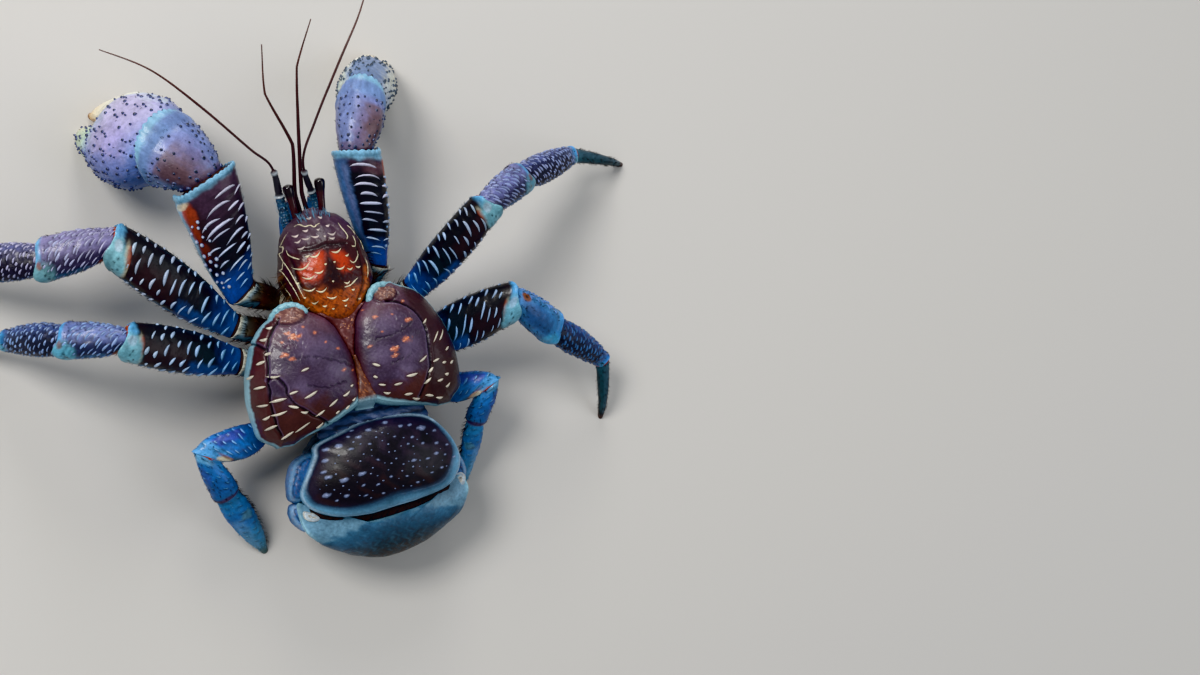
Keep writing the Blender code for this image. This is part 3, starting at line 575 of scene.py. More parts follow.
def fingerProfile(width, thick):
    # The moving finger swells beside the palm, then closes on the fixed finger
    places = (0.0, fingerStart, 0.47, 0.55, 0.62, 0.7, 0.8, 0.9, 1.0)
    wide = (0.3, 0.3, 0.36, 0.38, 0.38, 0.36, 0.28, 0.18, 0.08)
    deep = (0.46, 0.46, 0.56, 0.6, 0.58, 0.5, 0.38, 0.26, 0.12)
    aside = (0.27, 0.27, 0.31, 0.3, 0.25, 0.22, 0.19, 0.15, 0.11)

    def profile(place):
        return (width * smoothTable(places, wide, place), thick * smoothTable(places, deep, place),
                width * smoothTable(places, aside, place), 0.0)
    return profile


def makeForm(first, last, profile, roll=0.0, squareness=2.4):
    # Everything needed to find a point on a limb piece; first and last are (end point, cut's normal)
    start, end = first[0], last[0]
    axis = unit(end - start)
    level = unit(np.cross(axis, (0.0, 0.0, 1.0)))
    upward = unit(np.cross(level, axis))
    turn = math.radians(roll)
    return {
        "start": start, "end": end, "axis": axis, "length": float(np.linalg.norm(end - start)),
        "wide": level * math.cos(turn) + upward * math.sin(turn),
        "deep": upward * math.cos(turn) - level * math.sin(turn),
        "first": first, "last": last, "profile": profile, "squareness": squareness,
    }


def formPoint(form, place, angle, swell=1.0):
    width, depth, sideways, upward = form["profile"](place)
    power = 2 / form["squareness"]
    x = signedPower(np.cos(angle), power) * width / 2 * swell + sideways
    y = signedPower(np.sin(angle), power) * depth / 2 * swell + upward
    offset = form["wide"] * x[..., None] + form["deep"] * y[..., None]
    ends = []
    for point, (planePoint, normal) in ((form["start"], form["first"]), (form["end"], form["last"])):
        ends.append(((planePoint - point - offset) @ normal) / (form["axis"] @ normal))
    along = ends[0] + (form["length"] + ends[1] - ends[0]) * place
    return form["start"] + offset + form["axis"] * along[..., None]


def formSkin(form):
    placeStep, angleStep = 0.004, 0.03

    def skin(along, angle):
        place = np.asarray(along, float) / form["length"]
        angle = np.asarray(angle, float)
        ahead = formPoint(form, place + placeStep, angle) - formPoint(form, place - placeStep, angle)
        around = formPoint(form, place, angle + angleStep) - formPoint(form, place, angle - angleStep)
        return formPoint(form, place, angle), unit(np.cross(ahead, around))
    return skin


def formUnwrap(form, cell, cells):
    # The piece's own skin laid flat, in one square out of cells by cells
    def unwrap(along, angle):
        flat = np.stack((np.asarray(angle) / tau % 1.0, np.clip(np.asarray(along) / form["length"], 0, 1)),
                        -1)
        return (flat * 0.94 + 0.03 + np.array((cell % cells, cell // cells))) / cells
    return unwrap


def limbForms(name):
    # The forms of a whole limb, piece by piece, mitred at each joint
    limb = limbs[name]
    pieces = {piece: size for piece, size in limb.items() if piece not in ("side", "hip")}
    points = [np.array(limb["hip"])]
    for length, heading, rise, *shape in pieces.values():
        points.append(points[-1] + direction(limb["side"], heading, rise) * length)
    last = points[-1] - points[-2]
    points[-1] = points[-2] + last * (points[-2][2] / -last[2])
    ways = [unit(after - before) for before, after in zip(points, points[1:])]
    ground = np.array((0.0, 0.0, -1.0))
    normals = [ways[0]] + [unit(one + two) for one, two in zip(ways, ways[1:])] + [ground]
    cuts = list(zip(points, normals))
    forms = {}
    for (piece, size), bow, first, final in zip(pieces.items(), bows[limbKind(name)], cuts, cuts[1:]):
        wide, deep = size[3:]
        if piece == "palm":
            roll = 0 if limb["side"] < 0 else 180
            for part, profile in (("palm", palmProfile), ("finger", fingerProfile)):
                forms[part] = makeForm(first, final, profile(wide, deep), roll, clawSquareness)
        else:
            forms[piece] = makeForm(first, final, plainProfile(wide, deep, bow))
    return forms


# Colours of the shell
cream = tint(232, 222, 192)
pearl = tint(206, 220, 236)
paleBlue = tint(150, 194, 226)
rimBlue = tint(108, 178, 222)
royal = tint(24, 84, 178)
deepBlue = tint(16, 54, 118)
night = tint(13, 10, 18)
brownBlack = tint(36, 20, 22)
plum = tint(74, 56, 72)
duskViolet = tint(62, 54, 92)
brightBlue = tint(36, 112, 190)
skyBlue = tint(78, 152, 204)
teal = tint(26, 64, 76)
rust = tint(168, 66, 36)
umber = tint(84, 42, 34)
bone = tint(196, 190, 172)
paleGreen = tint(190, 210, 190)
turquoise = tint(130, 184, 196)
skinOrange = tint(186, 84, 38)
ink = tint(10, 9, 16)

# How each kind of limb piece is painted. "run" is the colour from base to tip. A patch is
# (colour, from, to, middle angle, half angle, share): 0 is the front, 90 the top, 180 the rear.
# A blob is (colour, place, angle, half length, half width, share), with its halves in mm.
# "dots" are small dark dots, each (place, angle), and "soft" is how wide the patches' edges blend, in
# degrees. Places run from 0 at the base to 1 at the tip.
looks = {
    "clawMerus": {
        "run": ((0.0, royal), (0.15, royal), (0.3, night * 1.6), (0.5, night * 2.0), (0.72, plum * 0.7),
                (0.92, plum * 1.15), (1.0, plum)),
        "patches": ((royal * 0.9, 0.0, 0.3, 90, 180, 0.4), (brownBlack * 1.5, 0.4, 0.9, 140, 24, 0.8),
                    (paleBlue * 0.8, 0.12, 1.1, 190, 24, 0.95), (paleBlue * 0.9, 0.55, 1.1, 182, 26, 0.9),
                    (pearl * 0.9, 0.1, 1.1, 6, 11, 0.75), (skyBlue * 0.8, 0.0, 1.1, 270, 60, 0.9),
                    (tint(132, 188, 220), 0.955, 1.1, 90, 180, 0.95)),
        "blobs": ((rust, 0.84, 146, 8.5, 4.6, 0.85), (rust, 0.7, 150, 6.5, 3.8, 0.7),
                  (rust * 0.8, 0.55, 146, 6.0, 4.0, 0.4), (cream, 0.93, 158, 2.2, 5.0, 0.7)),
    },
    "claw_right_merus": {
        "run": ((0.0, royal), (0.16, royal), (0.3, night * 1.5), (0.8, night * 1.6), (0.93, plum),
                (1.0, plum)),
        "patches": ((tint(132, 188, 220), 0.935, 1.1, 90, 180, 0.95), (paleBlue, 0.3, 1.1, 178, 16, 0.85),
                    (tint(92, 128, 180), -0.1, 0.93, 18, 34, 0.97),
                    (tint(120, 122, 158), 0.2, 0.9, 40, 9, 0.5), (skyBlue * 0.7, 0.0, 1.1, 270, 70, 0.9)),
        "blobs": ((rust, 0.83, 158, 8.0, 2.6, 0.85), (tint(132, 96, 104), 0.85, 120, 4.0, 6.0, 0.5)),
    },
    "walkMerus": {
        "run": ((0.0, tint(34, 104, 196)), (0.12, tint(24, 78, 160)), (0.3, night * 1.6), (0.8, night),
                (1.0, brownBlack)),
        "patches": ((brownBlack * 1.6, 0.5, 0.95, 120, 36, 0.75),
                    (tint(44, 100, 140), 0.0, 0.96, 204, 34, 0.9),
                    (tint(26, 82, 156), 0.0, 0.48, 158, 42, 0.75),
                    (tint(40, 96, 150), 0.0, 1.1, 290, 66, 0.85), (rimBlue, 0.94, 1.1, 22, 66, 0.95)),
        "blobs": ((cream, 0.9, 118, 2.6, 9.0, 0.65), (rust, 0.885, 98, 1.6, 4.5, 0.75),
                  (turquoise, 0.975, 128, 8.6, 10.5, 1.0), (turquoise * 0.8, 0.98, 190, 8.5, 8.0, 0.9),
                  (pearl * 0.9, 0.965, 88, 3.0, 2.0, 0.6)),
        "dots": ((0.955, 112), (0.975, 126), (0.94, 140), (0.97, 152), (0.95, 166)),
    },
    "walkCarpus": {
        "run": ((0.0, tint(104, 98, 136)), (0.5, tint(96, 88, 124)), (1.0, tint(88, 82, 116))),
        # the first patch, pale at the top front, is a painted highlight
        "patches": ((tint(142, 136, 182), 0.0, 1.1, 50, 40, 0.8),
                    (tint(48, 44, 66), 0.05, 0.85, 126, 26, 0.75),
                    (tint(62, 110, 146), 0.3, 1.1, 176, 30, 0.9),
                    (tint(36, 80, 130), 0.0, 1.1, 275, 66, 0.85), (rimBlue, 0.95, 1.1, 60, 150, 0.9)),
        "blobs": ((turquoise * 0.9, 0.98, 140, 8.0, 7.5, 0.95), (skinOrange, 0.05, 160, 5.0, 4.5, 0.9),
                  (skinOrange * 0.7, 0.98, 104, 1.4, 2.0, 0.7)),
        "dots": ((0.93, 134), (0.9, 150)),
    },
    "walkPropodus": {
        "run": ((0.0, tint(66, 62, 92)), (0.8, tint(62, 68, 104)), (0.93, tint(70, 122, 168)),
                (1.0, rimBlue)),
        # the first patch, pale at the top front, is a painted highlight
        "patches": ((tint(104, 108, 160), 0.0, 0.95, 34, 28, 0.7),
                    (tint(30, 26, 42), 0.06, 0.84, 126, 40, 0.85),
                    (tint(50, 104, 150), 0.0, 1.1, 196, 28, 0.8),
                    (tint(34, 76, 124), 0.0, 1.1, 280, 60, 0.8)),
        "blobs": ((skinOrange * 0.9, 0.0, 160, 3.6, 3.6, 0.9), (turquoise, 0.98, 140, 5.0, 4.5, 0.8)),
    },
    "dactyl": {
        "run": ((0.0, tint(62, 110, 128)), (0.12, teal * 1.3), (0.4, teal), (0.8, teal * 0.8),
                (0.93, umber * 0.5), (1.0, umber * 0.35)),
        "patches": ((tint(94, 122, 142), 0.0, 0.85, 70, 26, 0.35),
                    (tint(14, 34, 40), 0.1, 0.9, 190, 50, 0.5)),
    },
    "smallMerus": {
        "run": ((0.0, tint(22, 70, 152)), (0.4, brightBlue), (0.8, tint(52, 128, 206)),
                (1.0, tint(86, 156, 216))),
        "patches": ((tint(84, 82, 176), 0.3, 0.7, 58, 22, 0.65),
                    (tint(98, 170, 226), 0.72, 1.0, 60, 50, 0.7), (deepBlue, 0.0, 1.1, 275, 60, 0.7),
                    (tint(18, 58, 132), 0.0, 0.6, 150, 40, 0.5)),
        "blobs": ((tint(52, 104, 130), 0.86, 158, 6.0, 5.5, 0.8), (cream, 0.88, 128, 3.6, 3.2, 0.95),
                  (skinOrange * 0.7, 0.82, 122, 1.5, 4.2, 0.5)),
    },
    "smallCarpus": {
        "run": ((0.0, tint(60, 130, 190)), (0.35, tint(34, 108, 178)), (0.85, tint(26, 92, 158)),
                (1.0, tint(30, 96, 150))),
        "patches": ((tint(120, 184, 220), -0.1, 0.2, 40, 50, 0.6), (umber, 0.955, 1.1, 90, 180, 0.7),
                    (deepBlue, 0.0, 1.1, 265, 60, 0.6)),
        "blobs": ((tint(70, 74, 150), 0.45, 40, 5.0, 3.0, 0.4),),
    },
    "smallHand": {
        "run": ((0.0, tint(42, 124, 178)), (0.3, tint(36, 112, 184)), (0.6, tint(62, 140, 190)),
                (0.85, tint(52, 116, 140)), (1.0, tint(96, 110, 104))),
        "patches": ((skinOrange * 0.8, -0.1, 0.03, 110, 90, 0.85), (deepBlue, 0.0, 1.1, 260, 60, 0.6),
                    (paleBlue, 0.3, 0.8, 60, 26, 0.3)),
        "blobs": ((tint(120, 160, 150), 0.3, 110, 3.0, 2.4, 0.5),),
    },
    "clawCarpus": {
        "soft": 20.0,
        "run": ((0.0, tint(112, 104, 136)), (0.5, tint(126, 122, 168)), (0.85, tint(126, 136, 188)),
                (1.0, tint(120, 148, 198))),
        "patches": ((tint(116, 92, 96), -0.1, 0.78, 126, 38, 0.8),
                    (tint(122, 144, 198), 0.15, 1.2, 36, 34, 0.7),
                    (tint(104, 142, 190), 0.0, 1.2, 190, 36, 0.8),
                    (tint(62, 96, 150), 0.0, 1.1, 275, 60, 0.8),
                    (tint(140, 190, 222), 1.13, 1.6, 90, 180, 0.95)),
        "blobs": ((tint(98, 70, 66), 0.42, 130, 7.0, 8.0, 0.5), (skinOrange, 0.04, 184, 4.0, 5.0, 0.9)),
    },
    "palm": {
        "soft": 18.0,
        "run": ((0.0, tint(96, 150, 214)), (0.12, tint(132, 152, 208)), (0.3, tint(164, 158, 210)),
                (0.5, tint(172, 168, 208)), (0.62, tint(166, 184, 204)), (0.74, paleGreen), (1.0, cream)),
        "patches": ((tint(96, 118, 182), 0.0, 0.66, 162, 34, 0.8),
                    (tint(70, 108, 176), 0.0, 0.75, 225, 60, 0.85),
                    (tint(205, 198, 232), 0.12, 0.6, 62, 26, 0.6), (pearl, 0.2, 1.0, 26, 14, 0.85),
                    (paleGreen * 0.75, 0.72, 1.1, 150, 70, 0.6)),
    },
    "claw_right_palm": {
        "soft": 18.0,
        "run": ((0.0, tint(112, 152, 206)), (0.07, tint(150, 168, 208)), (0.15, tint(182, 192, 208)),
                (0.26, tint(204, 210, 206)), (0.5, tint(222, 222, 208)), (1.0, cream)),
        "patches": ((tint(196, 208, 196), 0.06, 0.8, 150, 44, 0.8),
                    (tint(70, 110, 172), 0.0, 0.75, 240, 44, 0.8),
                    (tint(198, 198, 222), 0.08, 0.5, 70, 26, 0.5)),
    },
    "finger": {
        "run": ((0.4, tint(214, 222, 224)), (0.55, tint(236, 236, 224)), (0.8, tint(236, 228, 206)),
                (0.95, tint(220, 192, 150)), (1.0, tint(150, 110, 74))),
        "patches": ((tint(176, 116, 70), 0.6, 0.95, 172, 30, 0.5),),
    },
    "ischium": {
        # the dark run and the black patch are painted shade where the ischium lies hidden under the body; the
        # pale end is its own bone colour
        "run": ((0.0, umber * 0.3), (0.5, umber * 0.4), (0.78, bone * 0.25), (0.9, tint(150, 172, 180)),
                (1.0, tint(206, 206, 190))),
        "patches": ((tint(84, 126, 152), 0.55, 0.97, 166, 44, 0.7), (ink, 0.1, 0.85, 60, 34, 0.6)),
    },
}

looks["walk2_right_carpus"] = {
    "run": ((0.0, tint(130, 160, 190)), (0.4, tint(96, 130, 168)), (1.0, tint(104, 150, 180))),
    # the first patch, pale at the top front, is a painted highlight
    "patches": ((tint(136, 172, 196), 0.0, 1.1, 40, 30, 0.6), (tint(60, 70, 100), 0.1, 0.8, 112, 24, 0.6),
                (tint(90, 150, 180), 0.2, 1.1, 176, 30, 0.7), (rimBlue, 0.95, 1.1, 60, 150, 0.9)),
    "blobs": ((tint(200, 84, 40), 0.2, 62, 3.4, 3.2, 1.0), (ink, 0.2, 62, 1.2, 1.2, 0.8),
              (tint(140, 200, 210), 0.97, 150, 7.0, 7.0, 0.9),
              (tint(150, 190, 220), 0.1, 120, 5.0, 5.0, 0.6)),
}

# Some legs are bluer than the others past the knee, and in their turquoise corners
tones = {"walk2_left": (0.62, 0.92, 1.1), "walk1_right": (0.7, 0.85, 1.0), "walk2_right": (0.34, 0.72, 1.1)}
def toneOf(name, piece):
    share = {"carpus": 1.0, "propodus": 1.0, "merus": 0.35}.get(piece, 0.0)
    return 1 + (np.array(tones.get(name, (1.0, 1.0, 1.0))) - 1) * share


def angleAway(phi, middle):
    return np.abs((phi - middle + 180.0) % 360.0 - 180.0)


def awayInMm(place, phi, at, middle, length, radius, halfLong, halfWide):
    # How far a point is from a spot on the skin, with 1 on the rim of an oval round it
    return np.hypot((place - at) * length / halfLong, np.radians(angleAway(phi, middle)) * radius / halfWide)


def shellGrain(shape, seed, passes=3):
    # Fine uneven grain over a grid, drawn out along the limb
    grain = np.random.default_rng(seed).normal(0, 1, shape)
    for step in range(passes):
        grain = (grain + np.roll(grain, 1, axis=0)) * 0.6
    return (grain + np.roll(grain, 1, axis=1)) * 0.6


def paintForm(look, length, place, phi, radius, spots):
    # Paint at points of a limb piece; spots are the same points in mm, for uneven edges
    wobble, ripple = waveOver(spots, 0.35), waveOver(spots, 1.1, 5.0)
    soft = look.get("soft", 9.0)
    colour = rampColour(look["run"], place + 0.035 * wobble + 0.012 * ripple)
    for patch, low, high, middle, half, share in look["patches"]:
        mask = smoothStep(place + 0.02 * wobble, low - 0.025, low + 0.025)
        mask = mask * (1 - smoothStep(place, high - 0.03, high + 0.03))
        if half < 180:
            away = angleAway(phi, middle) + (0.6 * wobble + 0.4 * ripple) * soft * 1.1
            mask = mask * (1 - smoothStep(away, half - soft, half + soft))
        colour = mixColour(colour, (patch, mask * share))
    for patch, at, middle, halfLong, halfWide, share in look.get("blobs", ()):
        far = awayInMm(place, phi, at, middle, length, radius, halfLong, halfWide)
        mask = 1 - smoothStep(far + 0.12 * wobble + 0.08 * ripple, 0.66, 1.08)
        colour = mixColour(colour, (patch, mask * share))
    for at, middle in look.get("dots", ()):
        far = awayInMm(place, phi, at, middle, length, radius, 1.0, 1.0)
        colour = mixColour(colour, (ink, (1 - smoothStep(far, 0.35, 0.95)) * 0.85))
    return colour


def outerAngle(side, angle):
    # Angle in degrees with 0 at the front or inner side and 180 at the rear or outer side
    turned = np.degrees(angle)
    return turned if side < 0 else 180.0 - turned


# The rings at a shell's ends as (mm past the end, share of the width)
shellEnds = {
    "base": ((-3.2, 0.3), (-3.0, 0.6), (-2.0, 0.78), (-0.8, 0.86), (0.3, 0.92), (1.2, 0.97), (2.2, 0.995)),
    "socket": ((-0.2, 1.0), (0.12, 0.985), (0.2, 0.965), (0.05, 0.945), (-0.8, 0.92), (-2.4, 0.87),
               (-3.2, 0.7), (-3.5, 0.35)),
    "blunt": ((0.0, 1.0), (0.0, 0.9), (0.0, 0.5), (0.0, 0.2)),
}
# Shapes of the far end of each kind of piece. An apron is (angle, half angle, reach in mm),
# where the shell runs on past the joint or is cut back from it. A bulge is
# (place, angle, half length, half width, height), in mm after the angle.
endShapes = {
    "walkMerus": {"aprons": ((132, 62, 4.6), (225, 60, -3.5), (0, 60, -3.4)), "rim": 0.3,
                  "toothStep": 1.5, "tooth": 0.25,
                  "bulges": ((0.95, 130, 8.0, 9.0, 1.2), (0.85, 128, 2.5, 11.0, -0.6),
                             (0.97, 88, 6.0, 1.4, -0.6))},
    "walkCarpus": {"aprons": ((140, 60, 3.6), (230, 60, -2.5), (0, 60, -1.6)), "rim": 0.35,
                   "toothStep": 1.5, "tooth": 0.2,
                   "bulges": ((0.92, 142, 6.0, 6.0, 0.9), (0.02, 170, 5.0, 6.0, -0.8))},
    "walkPropodus": {"aprons": ((170, 50, 1.6),), "rim": 0.35, "toothStep": 1.4, "tooth": 0.15},
    "clawMerus": {"aprons": ((188, 50, 2.0), (240, 60, -3.0)), "rim": 0.45, "toothStep": 2.4, "tooth": 0.8,
                  "bulges": ((0.9, 175, 9.0, 6.0, 0.8),)},
    "clawCarpus": {"aprons": ((100, 130, 6.5), (270, 60, -2.0)), "rim": 0.55, "toothStep": 2.4, "tooth": 0.8,
                   "bulges": ((0.5, 100, 9.0, 14.0, 0.9),)},
    "smallMerus": {"aprons": ((150, 60, 2.0), (230, 60, -2.0)), "rim": 0.2,
                   "bulges": ((0.88, 150, 5.0, 5.5, 0.9),)},
    "smallCarpus": {"aprons": ((90, 70, 0.8),), "rim": 0.15},
}
shellSpacing = 0.7  # mm between the points of a limb's shell


def shellGrid(form, side, start, end, shape):
    # Rings from base to end as (along, angle, swell), with the far edge's aprons and teeth
    length = form["length"]
    width, depth = form["profile"](np.linspace(start, 1, 9))[:2]
    radius = (width.mean() + depth.mean()) / 4
    rows = max(int(length * (1 - start) / shellSpacing), 8)
    columns = int(np.clip(math.pi * (width.max() + depth.max()) / 2 / shellSpacing, 24, 230))
    rings = [(start * length + shift * 0.8, swell) for shift, swell in shellEnds["base"]]
    rings += [(along, 1.0) for along in np.linspace(start * length + 3.0, length - 0.7, rows)]
    rings += [(length + shift, swell) for shift, swell in shellEnds[end]]
    ringAlong, swell = (column[:, None] for column in np.array(rings).T)
    along, angle = np.broadcast_arrays(ringAlong, ringAngles(columns)[None, :])
    nearEnd = np.clip(along / length, 0, 1.1)
    for middle, half, reach in shape.get("aprons", ()):
        away = np.clip(angleAway(outerAngle(side, angle), middle) / half, 0, 1)
        weight = 0.5 + 0.5 * np.cos(away * math.pi)
        along = along + weight * reach * nearEnd ** 7
    if "tooth" in shape:
        teeth = max(round(tau * radius / shape["toothStep"]), 8)
        along = along + (np.abs(np.cos(angle * teeth / 2)) - 0.5) * shape["tooth"] * nearEnd ** 30
    return along, angle, swell, length - ringAlong, radius


def ridgeFeet(marks, along, angle, radius):
    # The shell steps up under each raised dash, and takes a painted shadow just past it
    lift, shade = np.zeros(along.shape), np.zeros(along.shape)
    for mark in marks:
        aside = ((angle - mark[1] + math.pi) % tau - math.pi) * radius
        within = np.clip(1 - (aside / (mark[2] * 1.15)) ** 4, 0, 1)
        behind = along - (mark[0] + mark[3] * np.clip(aside, -mark[2], mark[2]))
        step = np.where(behind < 0, np.clip(1 + behind / 3.0, 0, 1), np.clip(1 - behind / 0.5, 0, 1))
        lift += within * 0.34 * step
        shade += within * bell(behind - 0.9, 0.7)
    return lift, np.clip(shade, 0, 1)


def limbShell(name, form, side, look, marks, end="socket", shape=(), start=0.0, tone=1.0):
    # A closed shell: rounded base, body with relief, and a socket or a blunt end
    shape, length = dict(shape), form["length"]
    along, angle, swell, toEnd, radius = shellGrid(form, side, start, end, shape)
    place, phi = along / length, outerAngle(side, angle)
    spot = formPoint(form, place, angle, swell)
    normal = formSkin(form)(along, angle)[1]
    lift, shade = ridgeFeet(marks, along, angle, radius)
    for at, middle, halfLong, halfWide, height in shape.get("bulges", ()):
        far = awayInMm(place, phi, at, middle, length, radius, halfLong, halfWide)
        lift = lift + height * np.exp(-far ** 2 * 1.2)
    lift = lift + (bell(toEnd - 1.4, 1.1) - bell(toEnd - 3.6, 0.7) * 0.7) * shape.get("rim", 0.1)
    lift = lift + 0.12 * waveOver(spot, 0.5, 2.0) + 0.05 * waveOver(spot, 1.9, 6.0)
    grid = spot + normal * (lift * smoothStep(swell, 0.975, 1.0))[..., None]
    grid[..., 2] = np.maximum(grid[..., 2], 0.0)
    colour = paintForm(look, length, place, phi, radius, spot) * tone
    # painted shadow just past each raised dash
    colour = mixColour(colour, (colour * 0.35, shade * 0.8))
    colour = colour * np.clip(1 + 0.1 * shellGrain(along.shape, len(name)), 0.6, 1.5)[..., None]
    # inside the socket: joint-skin orange, darkened as painted shade in the recess
    inside = smoothStep(-swell, -0.94, -0.9) * (along > length * 0.5)
    return paintedTube(grid, mixColour(colour, (skinOrange * 0.45, inside)))


def limbJoint(before, after, skinColour, radiusIn=0.86, radiusOut=0.93):
    # The soft skin between two pieces, from inside one socket to the next base
    columns, rings, folds = 40, 13, 3
    angle = ringAngles(columns)
    inner = formPoint(before, np.full(columns, 1 - 3.0 / before["length"]), angle, radiusIn)
    outer = formPoint(after, np.full(columns, 1.2 / after["length"]), angle, radiusOut)
    middle = (inner.mean(0) + outer.mean(0)) / 2
    t = np.linspace(0, 1, rings)[:, None, None]
    grid = inner * (1 - t) + outer * t
    grid = grid + unit(grid - middle) * (0.3 * np.cos(t * tau * folds) + 0.7 * np.sin(math.pi * t))
    # darker in the sunken folds: painted shade
    shade = 0.7 + 0.35 * np.cos(t * tau * folds)
    return paintedTube(grid, skinColour * shade * (1 + 0.15 * np.sin(angle * 9))[None, :, None])


def radianPerMm(form, along):
    width, depth = form["profile"](np.asarray(along / form["length"], float))[:2]
    return float(4.0 / (width + depth))


def turnedAngle(side, phi):
    return math.radians(phi if side < 0 else 180.0 - phi)


def ridgeRows(form, side, rows):
    # Staggered rows of raised dashes across a limb piece
    marks = []
    length = form["length"]
    for row in range(int((rows["to"] - rows["from"]) * length / rows["step"]) + 1):
        along = rows["from"] * length + row * rows["step"]
        perMm = radianPerMm(form, along)
        share = (along / length - rows["from"]) / (rows["to"] - rows["from"])
        reach = float(np.interp(share, np.linspace(0, 1, len(rows["reach"])), rows["reach"]))
        stagger = (row % 2) * rows.get("stagger", 0.5) * math.degrees(reach * perMm)
        phi = rows["angles"][0] + stagger + draws.uniform(-3, 3)
        while phi < rows["angles"][1]:
            half = reach * draws.uniform(0.55, 1.15) / 2
            here = phi + math.degrees(half * perMm)
            slant = (rows["slant"] + draws.uniform(-0.12, 0.12)) * -side
            shift = rows["slant"] * math.radians(here - 90.0) / perMm
            spot = along + shift + draws.uniform(-0.7, 0.7) * rows.get("jitter", 1.0)
            if 0.02 * length < spot < length * rows["stop"] and here < rows["angles"][1]:
                colour = rampColour(rows["colours"], np.array(spot / length)) * draws.uniform(0.8, 1.12)
                low = smoothStep(np.array(here), 120.0, 165.0) * 0.7
                colour = mixColour(colour, (rows.get("lowColour", colour), low))
                width = rows["width"] * draws.uniform(0.65, 1.3)
                height = rows["height"] * draws.uniform(0.75, 1.1)
                curve = -half * draws.uniform(0.05, 0.4)
                marks.append((spot, turnedAngle(side, here), half, slant, curve, width, height, perMm, colour,
                              rows["under"]))
            phi += math.degrees((half * 2 + rows["gap"] * draws.uniform(0.5, 1.5)) * perMm)
    return marks


def scatterKnobs(form, side, knobs):
    # Rows of small tubercles; some have a smaller one beside them
    marks = []
    length = form["length"]
    row = 0
    along = knobs["from"] * length
    while along < knobs["to"] * length:
        perMm = radianPerMm(form, along)
        around = math.degrees(knobs["around"] * perMm)
        phi = knobs["angles"][0] + (row % 2) * 0.5 * around
        while phi < knobs["angles"][1]:
            here = phi + draws.uniform(-0.28, 0.28) * around
            spot = along + draws.uniform(-0.3, 0.3) * knobs["step"]
            spot += knobs.get("slant", 0.0) * math.radians(here - 90) / perMm
            size = knobs["size"] * draws.uniform(0.7, 1.2)
            for pair in range(2 if draws.uniform() < knobs.get("pairs", 0.0) else 1):
                shift = pair * knobs["size"] * 1.9
                if 0 < spot - shift < length:
                    height = knobs["height"] * draws.uniform(0.8, 1.2)
                    turned = turnedAngle(side, here) + shift * 0.25 * perMm
                    marks.append((spot - shift, turned, size, size * 0.85, height, 0.0, knobs["foot"],
                                  knobs["top"]))
                size *= 0.75
            phi += around * draws.uniform(0.8, 1.25)
        along += knobs["step"] * (1 - knobs.get("crowd", 0.0) * along / length)
        row += 1
    return marks
